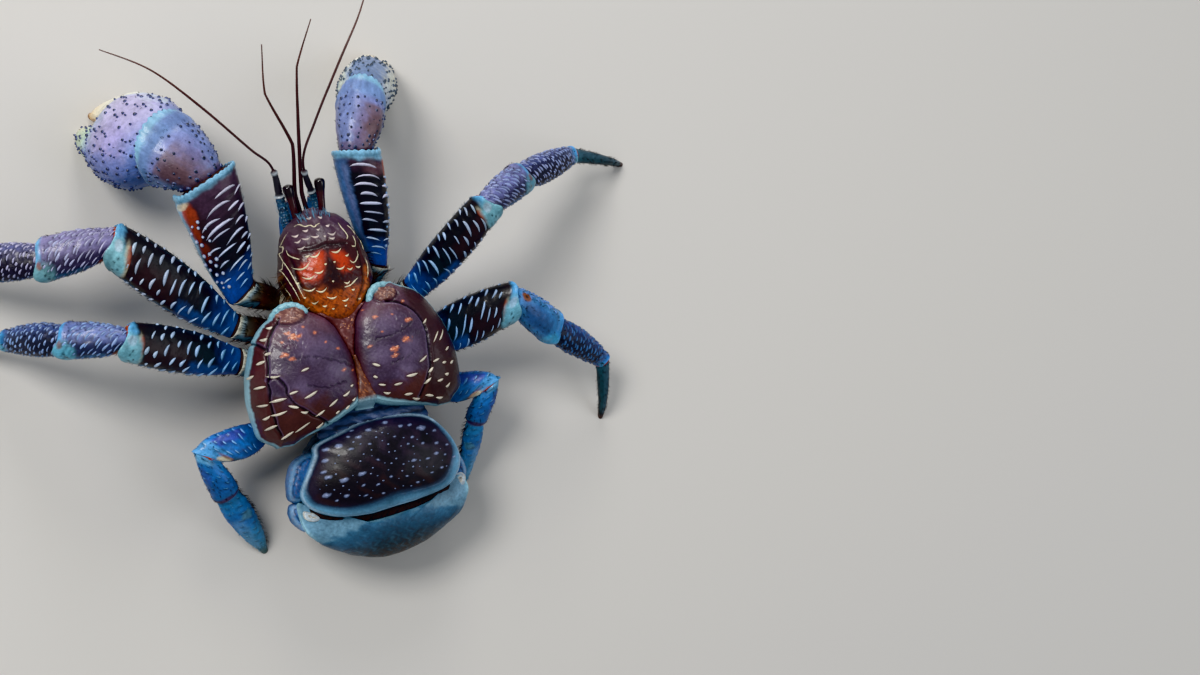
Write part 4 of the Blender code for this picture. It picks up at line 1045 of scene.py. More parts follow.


# Raised dashes: "from" and "to" are places along the piece, "step" is between rows, "reach" is the
# dashes' length from base to tip, and "stop" is where the last dash may lie
# The "under" colour of each row is the painted shade on the dashes' lower sides
merusBlues = ((0.0, tint(120, 176, 226)), (0.35, tint(164, 194, 228)), (0.8, tint(186, 198, 218)),
              (1.0, tint(150, 190, 206)))
clawPales = ((0.0, tint(120, 178, 232)), (0.3, tint(186, 206, 236)), (0.9, tint(206, 204, 226)))
duskPales = ((0.0, tint(178, 174, 206)), (1.0, tint(168, 174, 210)))
clawRidges = {"slant": -0.05, "colours": clawPales, "stop": 0.9}
legRidges = {"from": 0.05, "to": 0.9, "colours": merusBlues, "under": deepBlue}
smallRidges = {"from": 0.1, "to": 0.85, "angles": (0, 150), "height": 0.3, "under": deepBlue, "stop": 0.85}
ridgeLooks = {
    "claw_left_merus": {
        **clawRidges, "from": 0.1, "to": 0.92, "step": 4.7, "angles": (12, 176),
        "reach": (5.0, 8.0, 13.0, 17.0), "gap": 2.2, "width": 1.9, "height": 0.9, "under": plum * 0.6},
    "claw_right_merus": {
        **clawRidges, "from": 0.12, "to": 0.93, "step": 5.2, "angles": (58, 168), "reach": (7.0, 11.0, 13.0),
        "gap": 2.4, "width": 1.8, "height": 0.85, "under": plum * 0.5, "stagger": 0.15},
    "walk1_left_merus": {
        **legRidges, "step": 5.6, "angles": (2, 196), "reach": (9.5, 8.5, 5.5), "gap": 3.2, "slant": 0.2,
        "width": 2.0, "height": 0.9, "stop": 0.88},
    "walk2_left_merus": {
        **legRidges, "step": 5.8, "angles": (2, 196), "reach": (8.0, 7.0, 4.5), "gap": 3.4, "slant": 0.42,
        "width": 2.2, "height": 0.85, "stop": 0.87},
    "walk1_right_merus": {
        **legRidges, "from": 0.04, "to": 0.93, "step": 4.9, "angles": (-4, 180), "reach": (11.0, 9.0, 6.0),
        "gap": 2.8, "slant": -0.3, "width": 1.9, "height": 0.8, "stop": 0.9},
    "walk2_right_merus": {
        **legRidges, "step": 5.2, "angles": (0, 184), "reach": (9.0, 8.0, 4.5), "gap": 2.8, "slant": -0.45,
        "width": 1.8, "height": 0.8, "stop": 0.85},
    "walkCarpus": {
        "from": 0.06, "to": 0.93, "step": 2.8, "angles": (-10, 172), "reach": (4.6, 3.4), "gap": 0.8,
        "slant": 0.7, "width": 1.7, "height": 0.8, "colours": duskPales, "lowColour": tint(96, 116, 150),
        "under": duskViolet * 0.6, "stop": 0.93, "jitter": 1.3},
    "walkPropodus": {
        "from": 0.05, "to": 0.92, "step": 2.7, "angles": (-20, 186), "reach": (3.4, 2.6), "gap": 0.9,
        "slant": 0.55, "width": 1.6, "height": 0.75, "colours": duskPales,
        "lowColour": tint(84, 112, 150), "under": night * 1.5, "stop": 0.92, "jitter": 1.4},
    "smallMerus": {
        **smallRidges, "step": 3.6, "reach": (5.5, 4.0), "gap": 2.6, "slant": 0.1, "width": 1.2,
        "height": 0.35,
        "colours": ((0.0, tint(96, 160, 226)), (1.0, tint(150, 196, 234))), "under": royal},
    "smallCarpus": {
        **smallRidges, "step": 4.2, "reach": (3.0, 2.4), "gap": 3.0, "slant": 0.3, "width": 1.0,
        "colours": ((0.0, tint(96, 164, 218)), (1.0, tint(104, 170, 214)))},
    "smallHand": {
        **smallRidges, "from": 0.06, "to": 0.8, "step": 4.4, "angles": (0, 170), "reach": (2.6, 1.8),
        "gap": 3.2,
        "slant": 0.4, "width": 0.9, "colours": ((0.0, tint(98, 168, 214)), (1.0, tint(120, 176, 196)))},
}
ridgeLooks["walk2_right_carpus"] = {**ridgeLooks["walkCarpus"], "angles": (-20, 56), "reach": (3.0, 2.4)}
ridgeLooks["walk2_right_propodus"] = {
    **ridgeLooks["walkPropodus"], "colours": ((0.0, tint(108, 126, 158)), (1.0, tint(112, 134, 166)))}
knobLooks = {
    "claw_left_palm": {
        "from": 0.03, "to": 0.93, "step": 5.2, "around": 7.0, "angles": (-60, 250), "size": 1.25,
        "height": 1.0, "pairs": 0.5, "crowd": 0.35, "slant": 0.2, "foot": tint(96, 108, 160), "top": ink},
    "claw_right_palm": {
        "from": 0.03, "to": 0.93, "step": 4.4, "around": 5.2, "angles": (-80, 270), "size": 1.1,
        "height": 0.9, "pairs": 0.5, "crowd": 0.3, "slant": 0.2, "foot": tint(96, 116, 140), "top": ink},
    # on the carpus knobs the pale foot round each black knob is a painted highlight
    "claw_left_carpus": {
        "from": 0.1, "to": 0.98, "step": 4.4, "around": 5.0, "angles": (-10, 200), "size": 1.4, "height": 1.1,
        "pairs": 0.35, "foot": tint(116, 130, 180), "top": ink},
    "claw_right_carpus": {
        "from": 0.1, "to": 0.98, "step": 4.4, "around": 4.4, "angles": (20, 190), "size": 1.2, "height": 1.0,
        "pairs": 0.3, "foot": tint(116, 130, 180), "top": ink},
    "claw_left_merus": {
        "from": 0.18, "to": 0.84, "step": 4.6, "around": 4.6, "angles": (124, 166), "size": 1.35,
        "height": 1.0, "foot": tint(120, 130, 180), "top": pearl},
    "claw_right_merus": {
        "from": 0.2, "to": 0.88, "step": 6.0, "around": 5.0, "angles": (138, 176), "size": 1.2, "height": 0.8,
        "foot": tint(110, 130, 180), "top": paleBlue},
}
pieceSlots = {
    "ischium": "underside", "clawMerus": "limb_dark", "walkMerus": "limb_dark", "smallMerus": "limb_blue",
    "clawCarpus": "claw_shell", "palm": "claw_shell", "finger": "claw_shell", "walkCarpus": "limb_grey",
    "walkPropodus": "limb_grey", "dactyl": "limb_tip", "smallCarpus": "limb_blue", "smallHand": "limb_blue",
}
pieceFinishes = {
    "ischium": "underShell", "clawCarpus": "clawShell", "palm": "clawShell", "finger": "clawShell",
    "dactyl": "hornTip",
}
knobRow = 124  # angle from which the left claw's merus has knobs and no dashes
bareFinger = 34  # half angle without knobs beside the moving finger


def lookUp(table, name, piece, otherwise=None):
    # What a table says of this very piece, or of its kind of limb, or of any such piece
    for key in (name + "_" + piece, limbKind(name) + piece.capitalize(), piece):
        if key in table:
            return table[key]
    return otherwise


def limbMarks(name, piece, form):
    # Raised dashes and knobs of one limb piece
    side, node = limbs[name]["side"], name + "_" + piece
    rows = lookUp(ridgeLooks, name, piece)
    ridges = ridgeRows(form, side, rows) if rows else []
    knobs = scatterKnobs(form, side, knobLooks[node]) if node in knobLooks else []
    if node == "claw_left_merus":
        ridges = [mark for mark in ridges if outerAngle(side, mark[1]) < knobRow]
    if piece == "palm":
        bare = fingerStart * form["length"]
        knobs = [knob for knob in knobs if outerAngle(side, knob[1]) % 360 > bareFinger or knob[0] < bare]
    return ridges, knobs


def addLimb(name):
    side, claw = limbs[name]["side"], name.startswith("claw")
    forms = limbForms(name)
    reliefs = []
    for index, (piece, form) in enumerate(forms.items()):
        node = name + "_" + piece
        skin, unwrap, tone = formSkin(form), formUnwrap(form, index, 3), toneOf(name, piece)
        ridges, knobs = limbMarks(name, piece, form)
        if ridges:
            *faces, colours, places = makeRidges(skin, ridges, unwrap)
            reliefs.append((*faces, colours * tone, places))
        if knobs:
            reliefs.append(makeBumps(skin, knobs, unwrap, 7))
        end = "blunt" if piece in ("palm", "finger", "dactyl", "hand") else "socket"
        start = fingerStart if piece == "finger" else 0.0
        shape = limbShell(node, form, side, lookUp(looks, name, piece), ridges, end,
                          lookUp(endShapes, name, piece, ()), start, tone)
        addPiece(node + "_shell", shape, lookUp(pieceFinishes, name, piece, "limbShell"),
                 lookUp(pieceSlots, name, piece), node)
    if reliefs:
        addPiece(name + "_ridges", joinParts(reliefs), "ridgeShell", lookUp(pieceSlots, name, "merus"))
    order = [form for piece, form in forms.items() if piece != "finger"]
    skins = (umber * 0.35,) + (umber * 0.8 if claw else skinOrange,) * 3
    joints = [limbJoint(*pair, skin) for *pair, skin in zip(order, order[1:], skins)]
    addPiece(name + "_jointSkin", joinParts(joints), "softSkin", "underside")
    return forms


limbShapes = {name: addLimb(name) for name in limbs}
print("Crab: limbs built,", pieceCount, "pieces")

# Plates of the back: a crowned pillow inside an outline
plateSizes = {
    "foot": 40.0, "shieldLength": 64.0,
    "shieldHalfWidths": (0.0, 13.0, 20.5, 24.5, 25.5, 25.0, 23.5, 21.5, 19.5, 14.0, 2.5),
    "gillFront": 14.0, "gillRear": -60.5,
    "gillInner": (26.0, 14.5, 7.2, 4.6, 2.4, 0.9, 0.6, 0.6, 1.2, 15.5, 42.0),
    "gillOuter": (31.0, 43.5, 49.8, 53.6, 56.6, 58.6, 59.8, 60.0, 59.4, 58.0, 50.0), "gillFullness": 0.64,
}
rimRing = 8  # the ring of a plate's grid that lies on its rim


def lineDistance(x, y, line, samples=60):
    # Distance from points to a smooth line through a few places, and the side of it they lie on
    path = smoothThrough(np.array(line, float), np.linspace(0, 1, samples))
    nearest = np.full(x.shape, 1e9)
    side = np.zeros(x.shape)
    for (ax, ay), (bx, by) in zip(path[:-1], path[1:]):
        dx, dy = bx - ax, by - ay
        t = np.clip(((x - ax) * dx + (y - ay) * dy) / (dx * dx + dy * dy + 1e-9), 0, 1)
        far = np.hypot(x - ax - dx * t, y - ay - dy * t)
        closer = far < nearest
        nearest = np.where(closer, far, nearest)
        side = np.where(closer, np.sign(dx * (y - ay) - dy * (x - ax)), side)
    return nearest, side


def insideArea(x, y, outline, soft=1.5, waver=0.0):
    # 1 inside a smooth closed outline, 0 outside it, with a soft uneven edge
    loop = smoothLoop(outline, 80)
    inside = np.zeros(x.shape, bool)
    for (ax, ay), (bx, by) in zip(loop, np.roll(loop, -1, axis=0)):
        crosses = (ay > y) != (by > y)
        inside ^= crosses & (x < (bx - ax) * (y - ay) / (by - ay + 1e-12) + ax)
    far = lineDistance(x, y, np.concatenate((loop, loop[:1])), 81)[0]
    return smoothStep(np.where(inside, far, -far) + waver, -soft, soft)


def smoothLoop(outline, count):
    # A smooth closed line through a few places
    outline = np.asarray(outline, float)
    place = np.arange(count) / count * len(outline)
    index = place.astype(int)
    t = (place - index)[:, None]
    return curveBetween(*(outline[(index + shift) % len(outline)] for shift in (-1, 0, 1, 2)), t)


def evenOutline(outline, count):
    # Points at even steps round a closed outline
    outline = np.asarray(outline, float)
    closed = np.concatenate((outline, outline[:1]))
    steps = np.concatenate(([0.0], np.cumsum(np.hypot(*np.diff(closed, axis=0).T))))
    place = np.linspace(0, steps[-1], count, endpoint=False)
    return np.stack([np.interp(place, steps, closed[:, part]) for part in range(2)], -1)


def plateGrid(outline, centre, inner, crown, rim, foot, undercut, levels=70, fullness=0.75):
    # Rings of the outline, from the plate's foot out to its rim and up over its dome
    centre, inner = np.array(centre), np.array(inner)
    rings = []
    edge = rim(outline[:, 0], outline[:, 1])
    for share in np.linspace(0, 1, rimRing):
        scale = undercut + (1 - undercut) * math.sin(share * math.pi / 2)
        place = inner + (outline - inner) * scale
        rings.append(np.column_stack((place, foot + (edge - foot) * share ** 0.9)))
    for level in range(1, levels + 1):
        angle = math.pi / 2 * level / levels
        scale = max(math.cos(angle) ** fullness, 0.004)
        raised = math.sin(angle) ** fullness
        place = centre + (outline - centre) * scale
        height = edge + (crown(place[:, 0], place[:, 1]) - edge) * raised
        rings.append(np.column_stack((place, height)))
    return np.array(rings)


def gridNormals(grid):
    ahead = np.gradient(grid, axis=0)
    around = np.roll(grid, -1, axis=1) - np.roll(grid, 1, axis=1)
    normal = unit(np.cross(around, ahead))
    outward = grid - grid.mean((0, 1))
    return normal * (1 if (normal * outward).sum() > 0 else -1)


def fromRim(grid):
    # The ring that each point of a plate lies on, and how far in from the rim it is
    x, y = grid[..., 0], grid[..., 1]
    rings = np.arange(grid.shape[0])[:, None] * np.ones(x.shape)
    return rings, np.hypot(x - grid[rimRing, :, 0], y - grid[rimRing, :, 1])


def level(height):
    # A flat rim or crown for plateGrid
    return lambda x, y: height + 0 * x


def finishPlate(name, grid, lift, colour, finish, slotName, *nodes):
    # Adds a plate with its relief, and gives its faces for the marks that lie on it
    shape = paintedTube(grid + gridNormals(grid) * lift[..., None], colour)
    addPiece(name, shape, finish, slotName, *nodes)
    points, quads, tris = shape[:3]
    faces = np.concatenate((quads[:, :3], quads[:, [0, 2, 3]], tris)).tolist()
    return plateSkin(BVHTree.FromPolygons([Vector(point) for point in points], faces))


def plateSkin(tree):
    # Skin of a plate: along is +Y and around is +X, dropped on to the plate from above
    def skin(along, around):
        along, around = np.broadcast_arrays(np.asarray(along, float), np.asarray(around, float))
        spots = np.zeros(along.shape + (3,))
        normals = np.zeros(along.shape + (3,))
        for index in np.ndindex(along.shape):
            above = Vector((around[index], along[index], 200.0))
            hit, normal = tree.ray_cast(above, Vector((0, 0, -1)))[:2]
            if hit is None:
                hit, normal = tree.find_nearest(Vector((around[index], along[index], 60.0)))[:2]
            normal = normal if normal.z > 0 else -normal
            spots[index] = hit
            normals[index] = normal
        return spots, normals
    return skin


def plateUnwrap(along, around):
    return np.stack((np.asarray(around) / 140.0 + 0.5, np.asarray(along) / 220.0 + 0.75), -1)


def tubeGrid(route, radii, sides):
    # Rings along a route of points, kept square to it
    route = np.asarray(route, float)
    ways = unit(np.gradient(route, axis=0))
    side = unit(np.cross(ways, (0.0, 0.0, 1.0)) + np.array((1e-6, 0, 0)))
    up = np.cross(side, ways)
    angle = ringAngles(sides)
    ring = side[:, None] * np.cos(angle)[None, :, None] + up[:, None] * np.sin(angle)[None, :, None]
    return route[:, None] + ring * np.asarray(radii)[:, None, None]


def surfaceLine(skin, line, radius, pale, dark, sink=0.45, sides=8, perMm=1.6):
    # A raised line that follows a skin, beaded and half sunk, tapering at both ends
    line = np.array(line, float)
    length = np.hypot(*np.diff(line, axis=0).T).sum()
    t = np.linspace(0, 1, max(int(length * perMm), 6))
    path = smoothThrough(line, t)
    spot, normal = skin(path[:, 1], path[:, 0])
    taper = np.clip(np.minimum(t, 1 - t) * 5, 0.12, 1) ** 0.6
    beads = 1 + 0.14 * np.sin(t * length * 2.1 + line[0, 0]) + 0.12 * np.sin(t * length * 5.3)
    grid = tubeGrid(spot - normal * radius * sink, radius * taper * beads, sides)
    colour = pale * (0.85 + 0.15 * np.cos(t * length * 2.1))[:, None]
    *faces, colours = paintedTube(grid, ringPaint(colour, sides))
    colours[-2:] = dark
    places = dotPlaces(plateUnwrap(path[:, 1], path[:, 0]), 1, sides)
    return (*faces, colours, np.concatenate((places, places[[0, -sides]])))


def shieldOutline():
    place = np.linspace(0, 1, 40)
    y = plateSizes["shieldLength"] * (1 - np.cos(math.pi * place)) / 2
    x = np.maximum(smoothThrough(plateSizes["shieldHalfWidths"], y / plateSizes["shieldLength"]), 0.0)
    x = np.where(y < 8.0, np.maximum(x, 14.6 * np.sqrt(np.clip(y, 0.0, 8.0) / 8.0)), x)
    right = np.stack((x, y), -1)
    left = np.stack((-x, y), -1)[::-1][:-1]
    return evenOutline(np.concatenate((right, left)), 320)


def shieldTop(x, y):
    along = y / plateSizes["shieldLength"]
    return 80.0 - 3.5 * (1 - along) ** 3 - 17.0 * along ** 3


def shieldRim(x, y):
    along = y / plateSizes["shieldLength"]
    return 71.0 - 23.0 * np.minimum(along * 2.5, 1.0) + 7.0 * along ** 4


def gillOutline(side):
    place = (1 - np.cos(math.pi * np.linspace(0, 1, 60))) / 2
    y = plateSizes["gillFront"] + (plateSizes["gillRear"] - plateSizes["gillFront"]) * place
    inner = np.stack((side * smoothThrough(plateSizes["gillInner"], place), y), -1)
    outer = np.stack((side * smoothThrough(plateSizes["gillOuter"], place), y), -1)
    return evenOutline(np.concatenate((inner, outer[::-1])), 380)


def gillTop(x, y):
    return 81.0 - 0.0035 * (np.abs(x) - 22.0) ** 2 - 0.0025 * (y + 22.0) ** 2


def gillRim(x, y):
    away = np.minimum(np.abs(x) / 60.0, 1.0)
    rearward = np.maximum(0.0, (-y - 25.0) / 35.0)
    return 71.0 - 21.0 * away ** 1.6 - 9.0 * rearward ** 2 * (1 - away * 0.4)


# Places on the back are (x, y) in mm from the middle of the back
shieldLook = {
    "front": tint(82, 60, 74), "paintedSheen": tint(120, 102, 120), "side": tint(62, 30, 34),
    "middle": tint(34, 12, 18), "patch": tint(190, 58, 16), "glow": tint(218, 96, 40),
    "rear": tint(164, 74, 22), "blotch": tint(62, 24, 16), "band": tint(42, 18, 26),
    "flank": tint(226, 118, 34), "line": tint(236, 226, 192),
    "areas": (
        ("flank", ((-19, 20), (-16.5, 20), (-13, 12), (-7, 5), (-12, 4), (-17, 11)), 0.55),
        ("flank", ((20, 23), (17.5, 24), (15, 14), (9, 6), (14, 6), (18, 14)), 0.65),
        ("patch", ((-18, 30), (-9.5, 37), (-3, 38), (-3.5, 30.5), (-8.5, 23.5), (-15, 23.5)), 0.92),
        ("patch", ((1, 36), (7.5, 36), (10, 29), (10.5, 25), (3.5, 24.5), (1.5, 30)), 0.92),
        ("glow", ((-11, 33), (-6, 35.5), (-5, 31), (-9, 27)), 0.35),
        ("middle", ((-2.5, 33), (1, 32), (5, 20), (-1.5, 15.5), (-7, 18.5)), 0.95),
        ("band", ((-15, 43.5), (-3.5, 43.5), (10, 40), (9, 36.5), (-3, 39.5), (-14, 40)), 0.8),
    ),
    # crescents: (x, y, width)
    "crescents": (
        (5, 51.5, 2.5), (5.5, 46.5, 5), (4.5, 44, 3.5), (1, 46, 1.5), (-4, 47, 4.5), (-9, 47, 4.5),
        (-13.5, 50, 3.5), (-13.5, 46.5, 3.5), (-13, 42.5, 4), (-15.5, 32.5, 9.5), (-8, 27.5, 5),
        (-14, 26, 6.5), (-7.5, 37, 6.5), (-3.5, 31, 1.5), (4.5, 36.5, 6), (1.5, 31, 1.5), (4, 27, 5),
        (9, 25.5, 3.5), (-19.5, 24.5, 1.5), (-15, 19.5, 6), (-9, 17.5, 6), (-4.5, 12.5, 5.5), (2.5, 9.5, 4),
        (-13.5, 12, 3.5), (-9, 9, 2.5), (-5, 6.5, 1.5), (8, 14, 2), (2, 6.5, 1.5), (-18, 16, 1.5),
        (-17, 10, 1.5), (-3, 58, 3), (3, 57, 2.5), (-7.5, 51.5, 3), (-1, 50.5, 2), (14, 25.5, 3),
        (-11.5, 37.5, 2.5), (5.5, 18.5, 3.5), (11, 8.5, 2), (-2, 21, 1.2), (9.5, 33, 2.4),
    ),
    "lines": (
        ((-13, 55), (-9.5, 56), (-7, 54), (-4, 54), (-2.5, 52.5), (-0.5, 53.5), (2, 54)),
        ((-19.8, 44.5), (-19.4, 41), (-18, 38.6), (-15, 36.6)),
        ((17, 44), (17.5, 41), (17, 38), (15.5, 37), (13.5, 38)),
        ((11.5, 52.5), (12, 49), (13.5, 45), (13.5, 43), (12, 41.5)),
        ((17, 35), (16, 32), (13.5, 29), (11.5, 28.5), (10, 30.5)),
        ((12.5, 20), (10, 18.5), (7.5, 17), (5.5, 16.5), (3, 16.5)),
        ((-14.5, 54.5), (-19, 50), (-22, 44), (-22.4, 38), (-21.6, 32), (-20.4, 26), (-19.4, 20), (-18, 14)),
        ((-24.6, 40), (-24.6, 35), (-23.6, 29.5), (-22.4, 24), (-21.2, 18.5), (-19.6, 13)),
        ((-25.4, 29), (-24.9, 24.5), (-23.8, 19.5), (-22.4, 15)),
        ((19.5, 48), (21.5, 43), (22, 38), (21.5, 33)), ((20, 30), (20.5, 26), (19.5, 22), (18, 18)),
        ((16, 50), (18.5, 46.5), (19.5, 43)),
    ),
}


def addShield():
    look = shieldLook
    grid = plateGrid(shieldOutline(), (0, 27), (0, 27), shieldTop, shieldRim, plateSizes["foot"], 0.86, 90)
    x, y, z = grid[..., 0], grid[..., 1], grid[..., 2]
    wave = softWave(x * 0.45, y * 0.45, 0.0, 1.0)
    fine = softWave(x * 1.3, y * 1.3, 0.0, 4.0)
    colour = np.broadcast_to(look["side"], grid.shape).copy()
    front = smoothStep(y + 2 * wave + 0.15 * np.abs(x), 42.0, 48.0)
    middle = 1 - smoothStep(np.abs(x) + 2 * wave, 16.0, 22.0) * 0.7
    # the front takes a painted sheen over its own colour
    colour = mixColour(colour, (look["front"], front * middle),
                       (look["paintedSheen"], front * smoothStep(wave + 0.4 * fine, 0.1, 0.7) * 0.4))
    rear = smoothStep(-y - 0.25 * np.abs(x + 4) + 2.5 * wave, -23.5, -17.0)
    colour = mixColour(colour, (look["rear"], rear * 0.92))
    speck = softWave(x * 2.3, y * 2.1, 0.0, 7.0)
    colour = mixColour(colour, (look["flank"], rear * smoothStep(speck, 0.2, 0.6) * 0.6))
    for part, outline, share in look["areas"]:
        mask = insideArea(x, y, outline, 2.2, 1.2 * wave + 1.0 * fine + 0.6 * speck)
        colour = mixColour(colour, (look[part], mask * share))
    mottled = smoothStep(-y, -36.0, -24.0) * smoothStep(fine + 0.4 * wave + 0.5 * speck, 0.0, 0.5)
    colour = mixColour(colour, (look["blotch"], mottled * 0.75),
                       (umber * 0.45, smoothStep(-z, -61.0, -50.0) * (1 - smoothStep(y, 46.0, 56.0)) * 0.8))
    lift = 0.28 * wave + 0.1 * fine
    for line, depth in ((((-20, 42), (-19.5, 34), (-19.5, 26), (-17, 17), (-12, 9)), 0.8),
                        (((17.5, 38), (17, 30), (16.5, 22), (14.5, 15), (10, 8)), 0.8),
                        (((-13, 41), (-6, 40.5), (0, 41.5), (6, 40.5), (11, 40)), 0.45)):
        near = lineDistance(x, y, line)[0]
        lift = lift - depth * bell(near, 0.9) + 0.2 * bell(near - 1.8, 0.9)
        # painted shade in the grooves
        colour = mixColour(colour, (colour * 0.3, bell(near, 0.8) * 0.8))
    skin = finishPlate("head_shield_shell", grid, lift, colour, "glossShell", "head_shell", "head_shield")
    marks = []
    for cx, cy, width in look["crescents"]:
        pale = look["line"] * draws.uniform(0.85, 1.1)
        if cy > 40:
            pale = tint(216, 200, 194) * draws.uniform(0.8, 1.05)
        bend = width * draws.uniform(0.18, 0.34)
        # umber * 0.5 is the painted shade on each crescent's lower side
        marks.append((cy, cx, width / 2, draws.uniform(-0.2, 0.2), bend, 1.2, 0.45, 1.0, pale, umber * 0.5))
    parts = [makeRidges(skin, marks, plateUnwrap, 9)]
    parts += [surfaceLine(skin, line, 0.42, look["line"], umber) for line in look["lines"]]
    addPiece("head_shield_ridges", joinParts(parts), "ridgeShell", "head_shell")
    return skin


gillLook = {
    "middle": tint(74, 60, 80), "sheen": tint(122, 106, 138), "side": tint(82, 46, 46),
    "front": tint(104, 74, 86), "rear": tint(78, 46, 40), "dark": tint(58, 36, 38),
    "edge": tint(154, 200, 216), "grooveShade": tint(8, 5, 10), "spot": tint(228, 134, 94),
    "dash": tint(228, 220, 202), "lobe": tint(116, 78, 72), "lobeHighlight": tint(196, 152, 134),
    # the soft brown lobe inside the arch at the front corner: x, y, half width, half length
    "corner": {-1: (-28.5, 8.4, 8.5, 4.4), 1: (25.0, 7.8, 6.5, 4.0)},
    "grooves": {
        -1: (((-35, 8), (-40.3, 2.2), (-45.2, -5.4), (-47.5, -16.0), (-49.5, -24.0), (-50.5, -34.0),
              (-50.5, -43.6), (-49, -54)),
             ((-49.3, -22.5), (-45.2, -21.1), (-42.4, -24.4), (-40.8, -28.7), (-41.5, -32.5),
              (-38.6, -38.3), (-31, -46), (-22.6, -54)),
             ((-57, 1), (-52.0, -0.8), (-49.0, -3.0), (-46.5, -6.0))),
        1: (((24, 4), (31, 1), (38.4, -6.0), (41.5, -15.9), (41.2, -22.6), (40.0, -29.0), (38.9, -36.5),
             (35.4, -43.8), (30, -52)),),
    },
    "creases": {
        -1: (((-33.4, -14.6), (-25.4, -15.5), (-17.2, -18.4), (-9.1, -22.4), (-2.5, -26.0)),
             ((-30, -30), (-24, -33), (-17, -34), (-9, -33))),
        1: (((36, -10), (30, -13), (22, -15), (13, -15)), ((33, -26), (26, -29), (18, -30))),
    },
    # (x, y, half width, half height) of the pale sheen on the domes
    "sheens": {-1: ((-21, -12, 12, 7), (-34, -32, 6, 7), (-13, -26, 8, 6), (-26, -2, 6, 5)),
               1: ((22, -8, 9, 7), (30, -24, 6, 8), (14, -24, 7, 6), (24, -36, 6, 5))},
    # orange spots (x, y, width), then cream dashes (x, y, width, tilt)
    "spots": {
        -1: ((-29.8, -3.3, 6), (-32.9, -0.3, 3.3), (-37.2, -4.4, 2.7), (-18.5, -3.5, 2.8),
             (-8.8, -14.9, 2.4), (-37.5, -11.3, 5), (-34.4, -14.3, 3.3), (-8.2, -26.9, 3),
             (-3.2, -28.4, 1.6), (-24, 1, 1.6), (-14.5, -10, 1.6)),
        1: ((21.0, -22.8, 4.6), (20.6, -26.4, 4.2), (15.4, -3.3, 2.8), (32.8, -9.3, 3.6),
            (28.9, -19.1, 5.2), (8.8, -18.2, 2.8), (10.6, 1.9, 1.6), (33.0, 1.5, 2.2), (25, -4, 1.6),
            (17, -12, 1.5)),
    },
    "dashes": {
        -1: ((-29.2, -21.6, 4.6, 0.15), (-45.3, -0.7, 3.8, 0), (-40.7, 4.7, 3.3, 0),
             (-45.7, -8.6, 3.3, 0.1), (-50.1, -12.4, 4.4, 0.2), (-56.4, -18.8, 3.3, 0.3),
             (-53.8, -25.2, 5.5, 0), (-46.0, -21.2, 7.0, -0.2), (-38.4, -32.1, 5.5, 0.1),
             (-29.4, -35.6, 7.7, 0.3), (-46.7, -34.1, 8.8, 0), (-54.5, -35.0, 5.5, -0.1),
             (-39.6, -39.6, 5.5, -0.4), (-47.8, -41.3, 8.8, 0.05), (-34.6, -43.9, 4.4, -0.2),
             (-18.2, -43.0, 5.5, 0.5), (-10.1, -40.1, 4.4, 0.4), (-6.0, -36.4, 2, 0.3),
             (-16.7, -48.6, 2.5, 0.4), (-10.7, -47.5, 2.7, 0.5), (-6.5, -44.1, 2.2, 0.5),
             (-26.4, -46.7, 5.5, 0.4), (-54.1, -42.0, 3.8, 0.3), (-52.9, -47.7, 6.6, 0.2),
             (-37.0, -51.7, 8.8, 0.4), (-45.5, -54.0, 7.0, 0.4), (-27.4, -53.3, 4.4, 0.5)),
        1: ((42.3, -12.2, 2.7, 0.8), (9.5, -28.8, 3.8, -0.5), (27.4, -39.1, 6.6, 0), (18.9, -42.0, 4.9, 0),
            (10.2, -40.2, 3.8, -0.3), (7.6, -35.1, 2.2, -0.4), (12.1, -45.3, 3.8, -0.3),
            (23.9, -49.0, 4.9, -0.1), (35.8, -52.8, 4.9, -0.3), (41.7, -55.6, 4.4, -0.2),
            (28.1, -52.7, 4.4, -0.3), (35.6, -32.1, 4.9, 0.5), (43.0, -34.6, 4.4, 0.2),
            (47.8, -37.0, 2.7, 0), (38.7, -39.1, 3.3, 0.6), (48.0, -43.7, 2.7, 0), (35.5, -44.6, 4.9, 0.5),
            (43.2, -46.0, 3.8, 0.1), (47.6, -50.0, 3.3, 0.5), (46.5, -22, 5.0, 1.1), (50.5, -22, 5.0, 1.1),
            (52, -30, 3.0, 0.5), (53, -38, 2.6, 0.4)),
    },
}


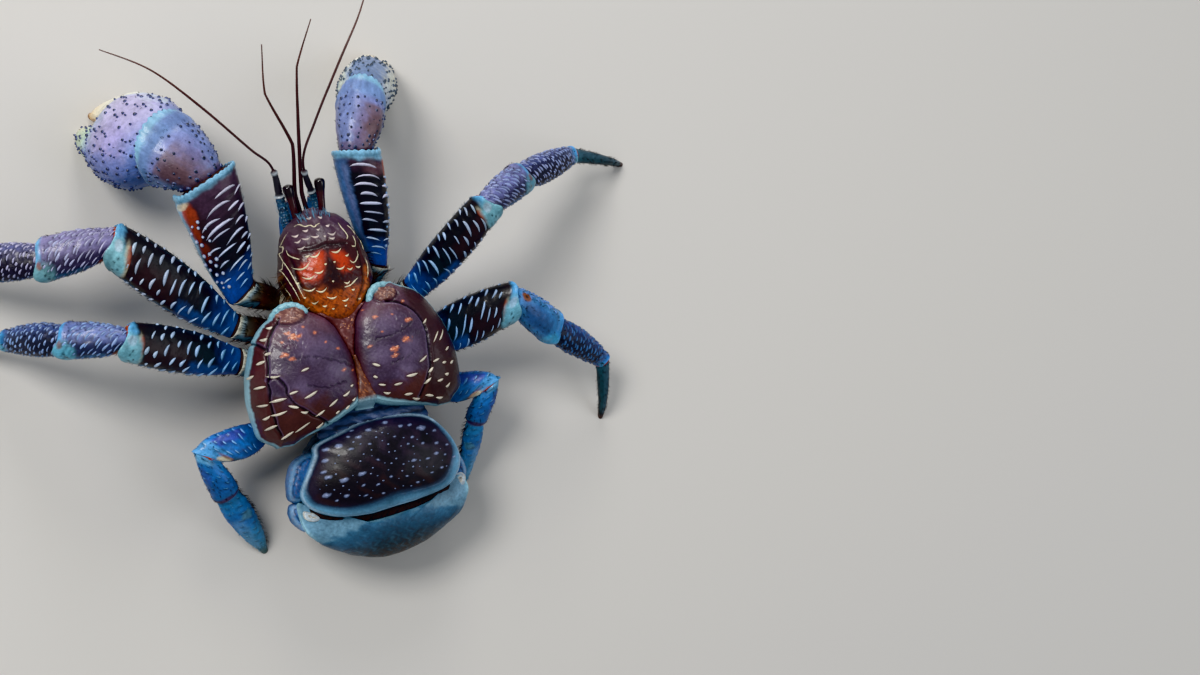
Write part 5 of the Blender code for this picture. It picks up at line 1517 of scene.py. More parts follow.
def paintGill(grid, side):
    # Colour and relief of a gill cover
    look = gillLook
    x, y = grid[..., 0], grid[..., 1]
    wave = softWave(x * 0.22, y * 0.22, 0.0, 3.0 + side)
    fine = softWave(x * 0.9, y * 0.9, 0.0, 5.0 - side)
    outer = look["side"] if side < 0 else look["dark"]
    colour = np.broadcast_to(look["middle"], grid.shape).copy()
    colour = mixColour(colour, (look["front"], smoothStep(y + 5 * wave, -14.0, 4.0) * 0.8))
    for cx, cy, wide, high in look["sheens"][side]:
        far = np.hypot((x - cx) / wide, (y - cy) / high) + 0.25 * wave + 0.2 * fine
        colour = mixColour(colour, (look["sheen"], (1 - smoothStep(far, 0.2, 1.4)) * 0.45))
    streak = softWave(x * 1.5 + 3 * wave, y * 2.9 + 4 * wave + 0.05 * x * x * 0.3, 0.0, 7.0)
    colour = mixColour(colour, (look["sheen"], smoothStep(streak, 0.15, 0.6) * 0.16))
    colour = mixColour(colour, (colour * 0.6, smoothStep(-streak, 0.2, 0.6) * 0.25))
    lift = 0.25 * wave + 0.07 * fine + 0.05 * streak
    wrinkles = np.exp(-(((np.abs(x) - 30) / 8) ** 2 + ((y + 8) / 10) ** 2))
    lift = lift + 0.2 * np.sin(x * 1.3 + 3 * fine + y * 0.5) * wrinkles
    rear = smoothStep(-y + 5 * wave + 2 * fine + 0.25 * np.abs(x), 40.0, 53.0)
    colour = mixColour(colour, (look["rear"], rear * 0.92))
    near, lineSide = lineDistance(x, y, look["grooves"][side][0])
    beyond = np.where(lineSide * side > 0, smoothStep(near, 0.0, 1.2), 0.0)
    colour = mixColour(colour, (outer, beyond * smoothStep(np.abs(x), 33.0, 38.0) * 0.9),
                       (look["side"], (1 - smoothStep(np.abs(x) + wave, 2.5, 7.0)) * 0.6))
    for cx, cy, width in look["spots"][side]:
        far = np.hypot((x - cx) / (width * 0.62), (y - cy) / (width * 0.36)) + 0.5 * fine + 0.3 * streak
        colour = mixColour(colour, (look["spot"], (1 - smoothStep(far, 0.3, 1.1)) * 0.7))
    # dark gathers painted shade in the grooves and creases, light a painted highlight on each groove's lip
    dark = np.zeros(x.shape)
    light = np.zeros(x.shape)
    for line in look["grooves"][side]:
        near, lineSide = lineDistance(x + 0.7 * wave + 0.2 * fine, y + 0.5 * wave, line)
        lift = lift - 1.1 * bell(near, 0.6) + 0.35 * bell(near - 1.7, 1.1)
        dark = np.maximum(dark, np.exp(-(near / 0.6) ** 4))
        light = np.maximum(light, bell(near - 1.1, 0.4) * (lineSide * side < 0))
    for line in look["creases"][side]:
        near = lineDistance(x, y + 0.8 * fine, line)[0]
        lift = lift - 0.4 * bell(near, 0.5)
        dark = np.maximum(dark, 0.5 * bell(near, 0.45))
    cx, cy, wide, high = look["corner"][side]
    far = np.hypot((x - cx) / wide, (y - cy) / high) + 0.06 * fine
    within = 1 - smoothStep(far, 0.75, 1.05)
    knobbly = smoothStep(softWave(x * 1.3, y * 1.9, 0.0, 2.0), 0.0, 0.6)
    # the pale knobs on the lobe are painted highlights
    colour = mixColour(colour, (look["lobe"], within * 0.9),
                       (look["lobeHighlight"], within * knobbly * 0.75))
    lift = lift + within * (0.9 + 0.4 * knobbly) - 0.7 * bell(far - 1.1, 0.1)
    # painted shadow along the lobe's rear edge
    dark = np.maximum(dark, 0.55 * bell(far - 1.1, 0.08) * smoothStep(cy - y, -1.0, 2.0))
    for cx, cy, width, tilt in look["dashes"][side]:
        halo = np.hypot((x - cx) / (width * 0.7), (y - cy - tilt * (x - cx)) / 1.8)
        colour = mixColour(colour, (look["rear"] * 0.8, (1 - smoothStep(halo, 0.5, 1.3)) * 0.5))
    rings, inward = fromRim(grid)
    wide = 1.5 + 3.4 * smoothStep(-y - 0.9 * np.abs(x), 20.0, 40.0) + 0.5 * fine
    edge = (1 - smoothStep(inward, wide * 0.5, wide)) * smoothStep(rings, 5.0, 8.0)
    outside = smoothStep(np.abs(x) + np.maximum(-y - 26, 0) * 2 + np.maximum(y - 2, 0) * 2, 30.0, 40.0)
    # painted highlight on the grooves' lips, then the pale blue rim
    colour = mixColour(colour, (look["sheen"] * 1.1, light * 0.5),
                       (look["edge"], edge * outside * 0.95))
    lift = lift + 0.35 * bell(inward - wide * 0.5, 0.6) * outside * (rings > rimRing)
    # painted shade in the grooves and creases, then painted shade low on the side wall near the foot
    colour = mixColour(colour, (look["grooveShade"], np.clip(dark, 0, 1) * 0.95),
                       (umber * 0.4, 1 - smoothStep(rings, 2, 6)))
    return colour, lift


def addGillCover(name, side):
    look = gillLook
    grid = plateGrid(gillOutline(side), (side * 30.0, -24.0), (side * 6.0, -24.0), gillTop, gillRim,
                     plateSizes["foot"], 0.86, 96, plateSizes["gillFullness"])
    colour, lift = paintGill(grid, side)
    skin = finishPlate(name + "_shell", grid, lift, colour, "glossShell", "body_shell", name)
    bumps, ridges = [], []
    for cx, cy, width in look["spots"][side]:
        for part in range(4 if width > 3.5 else 1):
            dx, dy = (0, 0) if part == 0 else draws.uniform(-0.4, 0.4, 2) * (width, width * 0.6)
            size = width * draws.uniform(0.13, 0.26)
            pale = mixColour(look["spot"], (look["dash"], np.array(draws.uniform(0.0, 0.6))))
            bumps.append((cy + dy, cx + dx, size * draws.uniform(0.4, 0.7), size, 0.12,
                          draws.uniform(-0.4, 0.4), look["spot"] * 0.85, pale))
    for cx, cy, width, tilt in look["dashes"][side]:
        # umber * 0.5 is the painted shade on each dash's lower side
        ridges.append((cy, cx, width / 2, tilt, draws.uniform(-0.1, 0.7), draws.uniform(1.4, 1.9), 0.42, 1.0,
                       look["dash"] * draws.uniform(0.8, 1.05), umber * 0.5))
    parts = [makeRidges(skin, ridges, plateUnwrap), makeBumps(skin, bumps, plateUnwrap)]
    addPiece(name + "_marks", joinParts(parts), "ridgeShell", "body_shell")
    return skin


# The pale arches at the front corner of each gill cover
frontRims = {
    "left": ((-38.5, 7.5), (-35.5, 11.2), (-31.5, 13.6), (-27, 14.0), (-23, 12.4), (-20.2, 9.4),
             (-19.2, 5.6)),
    "right": ((32.5, 8.0), (30, 11.0), (26.5, 12.8), (22, 12.8), (18.2, 10.5), (16.3, 7), (16.8, 3.5)),
}
archLook = {"radius": 2.0, "height": 4.4, "colour": tint(150, 200, 214), "dark": tint(66, 108, 134)}


def addFrontRims():
    look = archLook
    for name, line in frontRims.items():
        t = np.linspace(0, 1, 70)
        path = smoothThrough(np.array(line, float), t)
        height = gillRim(path[:, 0], path[:, 1]) + look["height"] - 5.0 * (2 * t - 1) ** 6
        route = np.column_stack((path, height))
        radii = look["radius"] * np.sqrt(np.clip(1 - (2 * t - 1) ** 8, 0.02, 1)) * (1 + 0.06 * np.sin(t * 60))
        points, quads, tris = closeTube(tubeGrid(route, radii, 18))
        speck = smoothStep(waveOver(points, 1.7), 0.15, 0.5)
        colours = mixColour(look["colour"], (look["dark"], speck * 0.6))
        addPiece("front_rim_" + name, (points, quads, tris, colours), "limbShell", "body_shell")


heartLook = {"shell": tint(102, 60, 60), "paintedSheen": tint(148, 108, 108), "spot": tint(212, 146, 112),
             "rim": 69.5, "top": 72.5}


def addHeartPlate():
    look = heartLook
    place = np.linspace(0, 1, 80)
    y = plateSizes["gillFront"] + (plateSizes["gillRear"] - plateSizes["gillFront"]) * place
    x = smoothThrough(plateSizes["gillInner"], place) - 0.2
    keep = (y < 7.0) & (y > -24.0)
    right = np.stack((x[keep], y[keep]), -1)
    outline = evenOutline(np.concatenate((right, (right * (-1, 1))[::-1])), 200)
    grid = plateGrid(outline, (0, -3), (0, -6), level(look["top"]), level(look["rim"]), plateSizes["foot"],
                     0.94, 40, 0.6)
    x, y = grid[..., 0], grid[..., 1]
    wave = softWave(x, y)
    # the paler patches are a painted sheen
    colour = mixColour(look["shell"], (look["paintedSheen"], smoothStep(wave, 0.0, 0.6) * 0.6))
    skin = finishPlate("heart_plate_shell", grid, 0.15 * wave, colour, "glossShell", "head_shell",
                       "heart_plate")
    bumps = []
    while len(bumps) < 16:
        cx, cy = draws.uniform(-6, 6), draws.uniform(-16, 0)
        if abs(cx) < 6 + 0.3 * cy:
            size = draws.uniform(0.3, 0.7)
            bumps.append((cy, cx, size * 0.7, size, 0.15, 0.0, look["spot"] * 0.8,
                          look["spot"] * draws.uniform(0.8, 1.1)))
    addPiece("heart_plate_spots", makeBumps(skin, bumps, plateUnwrap), "ridgeShell", "head_shell")


# The narrow plate on the midline between the rear parts of the gill covers: its two edges (x, y)
wedge = {
    "left": ((-0.7, -20.5), (-0.9, -27), (-1.4, -33), (-3.2, -41), (-4.2, -46), (-4.0, -51)),
    "right": ((0.9, -20.5), (1.7, -27), (3.4, -34), (5.0, -41), (6.6, -46.5), (6.4, -52)),
    "shell": tint(96, 58, 50), "light": tint(142, 96, 78), "spot": tint(204, 130, 80),
    "base": tint(164, 204, 220),
}


def addWedge(skins):
    t = np.linspace(0, 1, 60)
    left, right = smoothThrough(np.array(wedge["left"]), t), smoothThrough(np.array(wedge["right"]), t)
    leftHeight = skins["left"](left[:, 1], np.minimum(left[:, 0], -1.2) - 1.0)[0][:, 2]
    rightHeight = skins["right"](right[:, 1], np.maximum(right[:, 0], 1.2) + 1.0)[0][:, 2]
    high = np.convolve(np.pad(np.minimum(leftHeight, rightHeight), 4, mode="edge"), np.ones(9) / 9,
                       mode="valid")
    across = np.linspace(0, 1, 15)
    rise = 1.1 * np.sin(across * math.pi) ** 0.6
    top = left[:, None] + (right - left)[:, None] * across[None, :, None]
    roof = np.concatenate((top, (high[:, None] + 0.4 + rise[None])[..., None]), -1)
    floor = np.concatenate((top[:, ::-1], np.broadcast_to(high[:, None] - 5.0, top.shape[:2])[..., None]), -1)
    grid = np.concatenate((roof, floor), 1)
    x, y = grid[..., 0], grid[..., 1]
    wave = softWave(x * 0.8, y * 0.5)
    fine = softWave(x * 2.2, y * 1.7, 0.0, 4.0)
    colour = mixColour(wedge["shell"], (wedge["light"], smoothStep(wave, 0.0, 0.6) * 0.7),
                       (wedge["spot"], smoothStep(fine, 0.3, 0.55) * 0.5),
                       (wedge["base"], smoothStep(-y + 0.8 * fine, 43.5, 47.0)))
    finishPlate("midline_plate_shell", grid, 0.1 * wave + 0.1 * fine, colour, "glossShell", "body_shell")


shieldSkin = addShield()
gillSkins = {"left": addGillCover("gill_cover_left", -1), "right": addGillCover("gill_cover_right", 1)}
addFrontRims()
addHeartPlate()
addWedge(gillSkins)
print("Crab: back plates built,", pieceCount, "pieces")

# Abdomen. Outlines are (x, y) places in mm from the middle of the back.
abdomen = {
    "turn": -5.0, "centre": (4.0, -95.5), "half": (45.0, 42.0), "floor": 9.0, "foot": 34.0,
    "waist": -57.0, "lastFront": -117.0,
    "saddle": ((-29.5, -64), (-17, -60.5), (-1.5, -57), (16, -58), (35, -64), (45.5, -76.5), (49.5, -89),
               (47.5, -98), (39, -105.5), (23.5, -108), (5.5, -108.5), (-12, -108.5), (-28.5, -105),
               (-40, -97.5), (-43.5, -88.5), (-37, -77.5), (-32, -70)),
    "saddleMiddle": (5.0, -84.0), "saddleTop": 70.0,
    "rear": ((-44.5, -93.5), (-33.5, -107.4), (-20, -112.6), (-6, -113.6), (9, -112.8), (23.5, -111.2),
             (36.5, -108.2), (47.5, -102.8), (51, -111), (46.5, -122), (38.5, -127.5), (21.5, -134.5),
             (2.5, -137), (-9, -135.5), (-19.5, -131), (-30, -125), (-39, -117.5), (-45.5, -106)),
    "rearMiddle": (4.0, -122.0), "rearTop": 53.0,
}


def turnedOval(centre, half, squareness, count=200):
    angle = ringAngles(count)
    x = half[0] * signedPower(np.cos(angle), 2 / squareness)
    y = half[1] * signedPower(np.sin(angle), 2 / squareness)
    turn = math.radians(abdomen["turn"])
    return np.stack((centre[0] + x * math.cos(turn) - y * math.sin(turn),
                     centre[1] + x * math.sin(turn) + y * math.cos(turn)), -1)


def saddleTop(x, y):
    return abdomen["saddleTop"] - 0.004 * (x - 4.0) ** 2 - 0.006 * (y + 82.0) ** 2


def saddleRim(x, y):
    return 56.5 - 7.0 * ((x - 4.0) / 46.0) ** 2 - 0.004 * (y + 82.0) ** 2


def rearTop(x, y):
    return abdomen["rearTop"] - 12.0 * np.clip((-y - 112.0) / 26.0, 0, 1) ** 2 - 0.003 * (x - 4.0) ** 2


def rearRim(x, y):
    return 49.0 - 13.0 * smoothStep(-y, 108.0, 134.0) - 3.0 * np.minimum(((x - 4.0) / 46.0) ** 2, 1.0)


# Spots are (x, y, width) in mm
saddleLook = {
    "shell": tint(20, 15, 22), "brown": tint(44, 30, 30), "edge": tint(104, 160, 196),
    "mauveSheen": tint(66, 58, 80),
    "shine": tint(190, 212, 230), "spot": tint(140, 154, 192), "dark": tint(48, 78, 108),
    "large": (
        (-9.3, -60.9, 2.7), (-0.6, -62.8, 3.8), (9.4, -61.4, 3.8), (17.3, -65.4, 3.3), (22.6, -66.2, 2.7),
        (-12.3, -63.7, 2.4), (-7.1, -65.1, 3.5), (-18.8, -67.1, 4.9), (-13.1, -70.3, 3.1),
        (-2.7, -70.3, 2.2), (18.3, -75.8, 2.2), (26.9, -77.8, 2.7), (21.6, -72.9, 2.7), (28.8, -69.6, 6.0),
        (35.1, -80.0, 3.3), (33.6, -85.4, 3.3), (27.6, -86.8, 2.7), (19.3, -85.4, 3.3), (-0.6, -79.7, 2.4),
        (-10.8, -84.9, 4.4), (-20.8, -85.8, 5.3), (-28.3, -82.3, 4.4), (4.4, -90.7, 2.4),
        (13.3, -92.9, 2.2), (28.3, -95.1, 2.4), (34.8, -94.1, 2.6), (18.9, -98.0, 2.7), (-3.7, -93.0, 2.6),
        (-11.4, -91.3, 2.4), (-21.4, -94.7, 3.8), (-26.7, -96.0, 2.7), (-11.4, -97.2, 2.7),
        (-1.6, -98.6, 2.2), (-31.5, -91.7, 5.0), (44.5, -90.5, 2.0), (41.7, -82.7, 2.4),
        (-25.7, -67.4, 4.2), (-27.5, -73.2, 4.2), (38.8, -87.6, 1.8), (-30, -79, 3.5), (36, -73, 3.0),
        (12, -70, 2.0),
    ),
    "smallCount": 60,
}


def addSaddle():
    look = saddleLook
    centre = abdomen["saddleMiddle"]
    outline = evenOutline(smoothLoop(abdomen["saddle"], 240), 400)
    grid = plateGrid(outline, centre, centre, saddleTop, saddleRim, abdomen["foot"], 0.92, 96, 0.68)
    x, y = grid[..., 0], grid[..., 1]
    rings, inward = fromRim(grid)
    wave = softWave(x * 0.3, y * 0.3, 0.0, 6.0)
    fine = softWave(x * 1.1, y * 1.1, 0.0, 2.0)
    colour = mixColour(look["shell"], (look["brown"], smoothStep(wave, 0.0, 0.7) * 0.7))
    inward = np.where(rings < rimRing, 0.0, inward)
    upper = smoothStep(y + 0.3 * x, -92.0, -68.0)
    # a painted sheen over the upper part, and the same mauve as a paler band inside the rim
    colour = mixColour(colour, (look["mauveSheen"], upper * smoothStep(wave + 0.3 * fine, -0.5, 0.6) * 0.35),
                       (look["mauveSheen"], (1 - smoothStep(inward + 2 * wave, 5.0, 12.0)) * 0.3))
    rearSide = smoothStep(-y + 0.12 * x, 89.0, 102.0)
    leftSide = smoothStep(-x, 20.0, 36.0) * smoothStep(-y, 80.0, 92.0)
    rightSide = smoothStep(x, 36.0, 46.0)
    width = 1.2 + 5.6 * rearSide + 2.4 * leftSide + 2.2 * rightSide + 0.4 * wave + 0.3 * fine
    edge = 1 - smoothStep(inward + 0.25 * fine, width * 0.35, width * 1.15)
    colour = mixColour(colour, (look["dark"], bell(inward - width, 0.8 + 1.2 * rearSide) * 0.6),
                       (look["edge"], edge * 0.95),
                       (look["shine"], bell(inward - 0.8, 0.7) * 0.5))
    lift = 0.1 * wave - 0.3 * bell(inward - width - 0.5, 0.7)
    lift = lift + 0.5 * bell(inward - width * 0.5, width * 0.4) * (rings >= rimRing)
    for cx, cy, size in look["large"]:
        far = np.hypot((x - cx) / (size * 0.48), (y - cy) / (size * 0.25)) + 0.35 * fine
        share = 1 - smoothStep(far, 0.55, 1.15)
        colour = mixColour(colour, (look["spot"], share * 0.7))
        lift = lift + 0.1 * share
    # painted shade low on the side wall, near the foot
    colour = mixColour(colour, (ink, (1 - smoothStep(rings, 3, 6)) * 0.9))
    skin = finishPlate("tergite_2_shell", grid, lift, colour, "spottedShell", "abdomen_dark", "tergite_2")
    bumps = []
    for cx, cy, size in look["large"]:
        half = size * draws.uniform(0.2, 0.3)
        shade = look["spot"] * draws.uniform(0.95, 1.35)
        bumps.append((cy, cx, half * draws.uniform(0.35, 0.6), half, 0.13, draws.uniform(-0.5, 0.5),
                      look["spot"] * 0.9, shade))
    inside = insideArea(*np.meshgrid(np.arange(-50, 51.0), np.arange(-112, -55.0), indexing="ij"),
                        abdomen["saddle"], 1.0, -8.0)
    wanted = len(bumps) + look["smallCount"]
    while len(bumps) < wanted:
        cx, cy = draws.uniform(-44, 46), draws.uniform(-106, -60)
        clear = all(math.hypot(cx - mark[1], cy - mark[0]) > 3.2 for mark in bumps)
        if clear and inside[int(cx + 50), int(cy + 112)] > 0.5:
            size = draws.uniform(0.35, 0.75)
            bumps.append((cy, cx, size * 0.7, size, 0.1, 0.0, look["spot"] * 0.5,
                          look["spot"] * draws.uniform(0.5, 0.95)))
    addPiece("tergite_2_spots", makeBumps(skin, bumps, plateUnwrap, 10), "ridgeShell", "abdomen_dark")


rearLook = {
    "run": ((0.0, tint(112, 154, 180)), (0.12, tint(66, 110, 142)), (0.4, tint(52, 84, 110)),
            (0.7, tint(52, 70, 82)), (1.0, tint(48, 52, 54))),
    "lip": tint(146, 190, 208), "pale": tint(104, 142, 166), "dark": tint(24, 46, 78),
    "brown": tint(66, 56, 54),
    "membrane": tint(46, 26, 22), "membraneDark": tint(14, 8, 10), "radius": 3.6, "sunk": 4.6,
}


def addRearPlate():
    look = rearLook
    outline = evenOutline(smoothLoop(abdomen["rear"], 260), 420)
    middle = abdomen["rearMiddle"]
    grid = plateGrid(outline, middle, middle, rearTop, rearRim, abdomen["foot"] - 2.0, 0.97, 64)
    x, y, z = grid[..., 0], grid[..., 1], grid[..., 2]
    wave = softWave(x * 0.3, y * 0.3, z * 0.3, 8.0)
    fine = softWave(x * 1.2, y * 1.2, z * 1.2, 3.0)
    rings, inward = fromRim(grid)
    back = np.clip((-y - 111 - 0.004 * (x - 4) ** 2 + 3 * wave) / 27.0, 0, 1)
    colour = rampColour(look["run"], back)
    front = bell(inward, 1.3) * smoothStep(grid[rimRing, :, 1], -118.0, -112.0) * (rings > 3)
    blotch = softWave(x * 0.8, y * 1.1, 0, 2.0)
    colour = mixColour(colour, (look["dark"], smoothStep(fine + 0.5 * wave, 0.0, 0.8) * 0.25),
                       (look["pale"], smoothStep(blotch, 0.2, 0.7) * 0.2),
                       (look["brown"], smoothStep(-blotch + 0.4 * fine + 0.5 * back, 0.1, 0.8) * back * 0.7),
                       (look["lip"], front * 0.95))
    lift = 0.2 * wave + 0.06 * fine + 0.5 * front
    finishPlate("tergite_3_shell", grid, lift, colour, "spottedShell", "abdomen_blue", "tergite_3")


def addMembrane():
    # The dark soft strip in the gap between the saddle and the plate behind it
    look = rearLook
    line = np.array(((-44, -93.5), (-34, -102.5), (-20, -108.5), (-6, -110.2), (9, -110.6), (23.5, -110.2),
                     (36.5, -107.5), (47, -102)))
    t = np.linspace(0, 1, 120)
    path = smoothThrough(line, t)
    route = np.column_stack((path, saddleRim(path[:, 0], path[:, 1]) - look["sunk"]))
    radii = look["radius"] * np.clip(np.minimum(t, 1 - t) * 8, 0.2, 1)
    points, quads, tris = closeTube(tubeGrid(route, radii, 20))
    darkness = smoothStep(waveOver(points, 1.1), -0.2, 0.5)
    colours = mixColour(look["membrane"], (look["membraneDark"], darkness))
    addPiece("abdomen_membrane", (points, quads, tris, colours), "softSkin", "abdomen_skin")


bandLook = {"shell": tint(66, 84, 122), "pale": tint(128, 140, 172), "dark": tint(26, 26, 44),
            "centre": (6.0, -60.0), "half": (32.0, 12.5)}


def addBand():
    centre = bandLook["centre"]
    outline = evenOutline(turnedOval(centre, bandLook["half"], 2.2), 220)
    grid = plateGrid(outline, centre, centre, lambda x, y: 60.5 - 0.004 * (x - 4.0) ** 2,
                     lambda x, y: 53.0 - 0.003 * (x - 4.0) ** 2, plateSizes["foot"], 0.95, 36)
    x, y = grid[..., 0], grid[..., 1]
    wave = softWave(x * 0.4, y * 0.6, 0, 1.0)
    # dark in the hollows between the folds: painted shade
    fold = np.sin(y * 1.1 + 1.6 * wave + 0.06 * x)
    colour = mixColour(bandLook["shell"], (bandLook["pale"], smoothStep(wave, 0.0, 0.5) * 0.6),
                       (bandLook["dark"], smoothStep(-fold, 0.3, 0.95) * 0.85))
    finishPlate("tergite_1_shell", grid, 0.4 * fold + 0.15 * wave, colour, "spottedShell", "abdomen_blue",
                "tergite_1")


sacLook = {"skin": tint(52, 76, 106), "dark": tint(34, 44, 60), "pale": tint(96, 110, 128),
           "end": tint(42, 62, 80)}


def sacGrid(levels=40, columns=260):
    # The soft abdomen under its plates, rounded down to its floor
    top = abdomen["foot"] - 0.3
    places, scales = (0.0, 0.05, 0.2, 0.45, 0.7, 1.0), (0.62, 0.8, 0.93, 0.99, 1.0, 0.985)
    rings = []
    for lift in np.linspace(0, 1, levels) ** 1.3:
        scale = float(smoothTable(places, scales, lift))
        outline = turnedOval(abdomen["centre"], (abdomen["half"][0] * scale, abdomen["half"][1] * scale),
                             2.15, columns)
        height = abdomen["floor"] + (top - abdomen["floor"]) * lift
        rings.append(np.column_stack((outline, np.full(columns, height))))
    return np.array(rings)


def addSac():
    look = sacLook
    grid = sacGrid()
    x, y, z = grid[..., 0], grid[..., 1], grid[..., 2]
    wave = softWave(x * 0.35, y * 0.35, z * 0.35, 3.0)
    colour = mixColour(look["skin"], (look["dark"], smoothStep(wave, -0.2, 0.6) * 0.8),
                       (look["pale"], smoothStep(-z, -18.0, -10.0) * 0.6))
    folds = 0.35 * np.sin(y * 1.1 + wave * 1.5) * bell(z - 22, 12)
    back = smoothStep(-y, 116.0, 118.0)
    colour = mixColour(colour, (look["end"], back * 0.8))
    lift = folds * (1 - back) + 0.25 * wave - 0.8 * bell(y - abdomen["lastFront"], 0.8)
    grid = grid + gridNormals(grid) * (lift - 0.2)[..., None]
    # The front of the sac tucks in under the breast
    tucked = abdomen["waist"] + 1.5 * np.tanh((grid[..., 1] - abdomen["waist"]) / 6.0)
    grid[..., 1] = np.minimum(grid[..., 1], tucked)
    addPiece("abdomen_sac", paintedTube(grid, colour), "softSkin", "abdomen_skin", "abdomen_core",
             "tergite_4")


# Soft lobes at the sides: outline, then foot, rim and top height; a pleuron replaces its own solid
lobes = {
    "pleuron_left_front": {
        "outline": ((-31, -67.5), (-41, -70), (-46, -76.5), (-48.6, -84), (-48.8, -91), (-43, -93),
                    (-36, -84), (-29, -74)),
        "heights": (25, 40, 50)},
    "pleuron_left_rear": {
        "outline": ((-44.5, -93.2), (-49.5, -93.8), (-51, -99.5), (-48.6, -106), (-43.5, -110.5),
                    (-36, -108), (-34, -100), (-38, -94)),
        "heights": (27, 39, 46)},
    "pleuron_right_rear": {
        "outline": ((42, -91), (50, -89), (53.4, -95), (53.6, -102), (50, -107.5), (44, -107), (40, -100)),
        "heights": (26, 40, 46)},
    "fold_left_cream": {
        "outline": ((-43.6, -98.6), (-40.2, -99.6), (-37.4, -101.4), (-35, -103.8), (-37.2, -105.6),
                    (-40.8, -104.9), (-43.9, -102.4)),
        "heights": (40, 46.5, 49)},
    "fold_right_pale": {
        "outline": ((45, -102), (49.5, -101), (51.5, -104.5), (50, -108.5), (46, -109)),
        "heights": (38, 44.5, 47)},
}
lobeLook = {"shell": tint(56, 108, 168), "dark": tint(24, 44, 92), "pale": tint(150, 188, 218),
            "cream": tint(226, 220, 204), "fold": tint(12, 14, 26), "blush": tint(150, 122, 128)}


def addLobes():
    # Flat folds that hug the plates' edges, each with a pale rim and creases darkened with painted shade
    look = lobeLook
    for name, size in lobes.items():
        outline = evenOutline(smoothLoop(size["outline"], 120), 160)
        middle = outline.mean(0)
        foot, rim, top = size["heights"]
        grid = plateGrid(outline, middle, middle, level(top), level(rim), foot, 0.55, 34)
        x, y = grid[..., 0], grid[..., 1]
        wave = softWave(x * 0.6, y * 0.6, grid[..., 2] * 0.6)
        fine = softWave(x * 1.7, y * 1.7, grid[..., 2])
        inward = fromRim(grid)[1]
        nodes = (name,) if name.startswith("pleuron") else ()
        base, darkness = (look["shell"], 0.5) if nodes else (look["cream"], 0.12)
        colour = mixColour(base, (look["dark"], smoothStep(wave, -0.1, 0.6) * darkness),
                           (look["pale"], bell(inward - 1.6, 1.2) * 0.6),
                           (look["blush"], smoothStep(fine, 0.2, 0.6) * 0.35))
        # painted shade in the crease
        crease = bell(inward - 3.6 - wave, 0.5)
        colour = mixColour(colour, (look["fold"], crease * 0.6))
        finishPlate(name + "_shell", grid, 0.25 * wave - 0.3 * crease, colour, "spottedShell", "abdomen_blue",
                    *nodes)


# The rings of the tail fan are (share of its outline, height), from its underside up
tailFan = {
    "centre": (3.0, -103.0), "half": (21.0, 19.0),
    "rings": ((0.3, 3.4), (0.7, 3.0), (0.88, 3.6), (0.98, 5.2), (1.0, 6.8), (0.97, 8.2), (0.85, 8.6),
              (0.4, 8.7)),
}


def addTailFan():
    centre = np.array(tailFan["centre"])
    outline = evenOutline(turnedOval(centre, tailFan["half"], 2.3), 160)
    grid = np.array([np.column_stack((centre + (outline - centre) * scale, np.full(len(outline), height)))
                     for scale, height in tailFan["rings"]])
    colour = np.broadcast_to(sacLook["pale"], grid.shape).copy()
    finishPlate("tail_fan_shell", grid, np.zeros(grid.shape[:2]), colour, "spottedShell", "abdomen_blue",
                "tail_fan")


addSac()
addBand()
addMembrane()
addSaddle()
addRearPlate()
addLobes()
addTailFan()
print("Crab: abdomen built,", pieceCount, "pieces")

# Breast and leg bases under the plates
breast = {
    "halfWidths": (36.0, 41.0, 41.0, 38.0, 33.0, 26.0, 19.0, 14.0, 9.0),
    "bottoms": (24.0, 19.0, 17.0, 17.0, 17.0, 18.0, 20.0, 24.0, 30.0),
    "rear": -57.0, "front": 61.0, "shoulder": 6.0, "grooveStep": 17.0,
}


def addBreast():
    columns, rows = 120, 150
    place = np.linspace(0, 1, rows)[:, None]
    half = smoothThrough(breast["halfWidths"], place)
    low = smoothThrough(breast["bottoms"], place)
    shoulder, step = breast["shoulder"], breast["grooveStep"]
    top = plateSizes["foot"] - 0.4
    angle = ringAngles(columns)[None, :]
    x = half * signedPower(np.cos(angle), 0.75) * (1 + 0.35 * np.minimum(np.sin(angle), 0))
    up = signedPower(np.sin(angle), 0.75)
    z = top - shoulder + np.where(up > 0, shoulder, top - shoulder - low) * up
    y = breast["rear"] + (breast["front"] - breast["rear"]) * place * np.ones(angle.shape)
    grid = np.stack((x, y, z), -1)
    wave = softWave(x * 0.4, y * 0.4, z * 0.4)
    grooves = bell((y + 60.0) % step - step / 2, 0.9)
    keel = bell(x, 1.2) * (up < 0)
    colour = mixColour(bone * 0.8, (tint(126, 110, 106), smoothStep(wave, 0.0, 0.7) * 0.6),
                       (skinOrange * 0.5, np.clip(grooves + keel, 0, 1) * 0.7))
    lift = 0.3 * wave - 0.9 * np.maximum(grooves, keel)
    finishPlate("thorax_under_shell", grid, lift, colour, "underShell", "underside", "thorax_under")


addBreast()

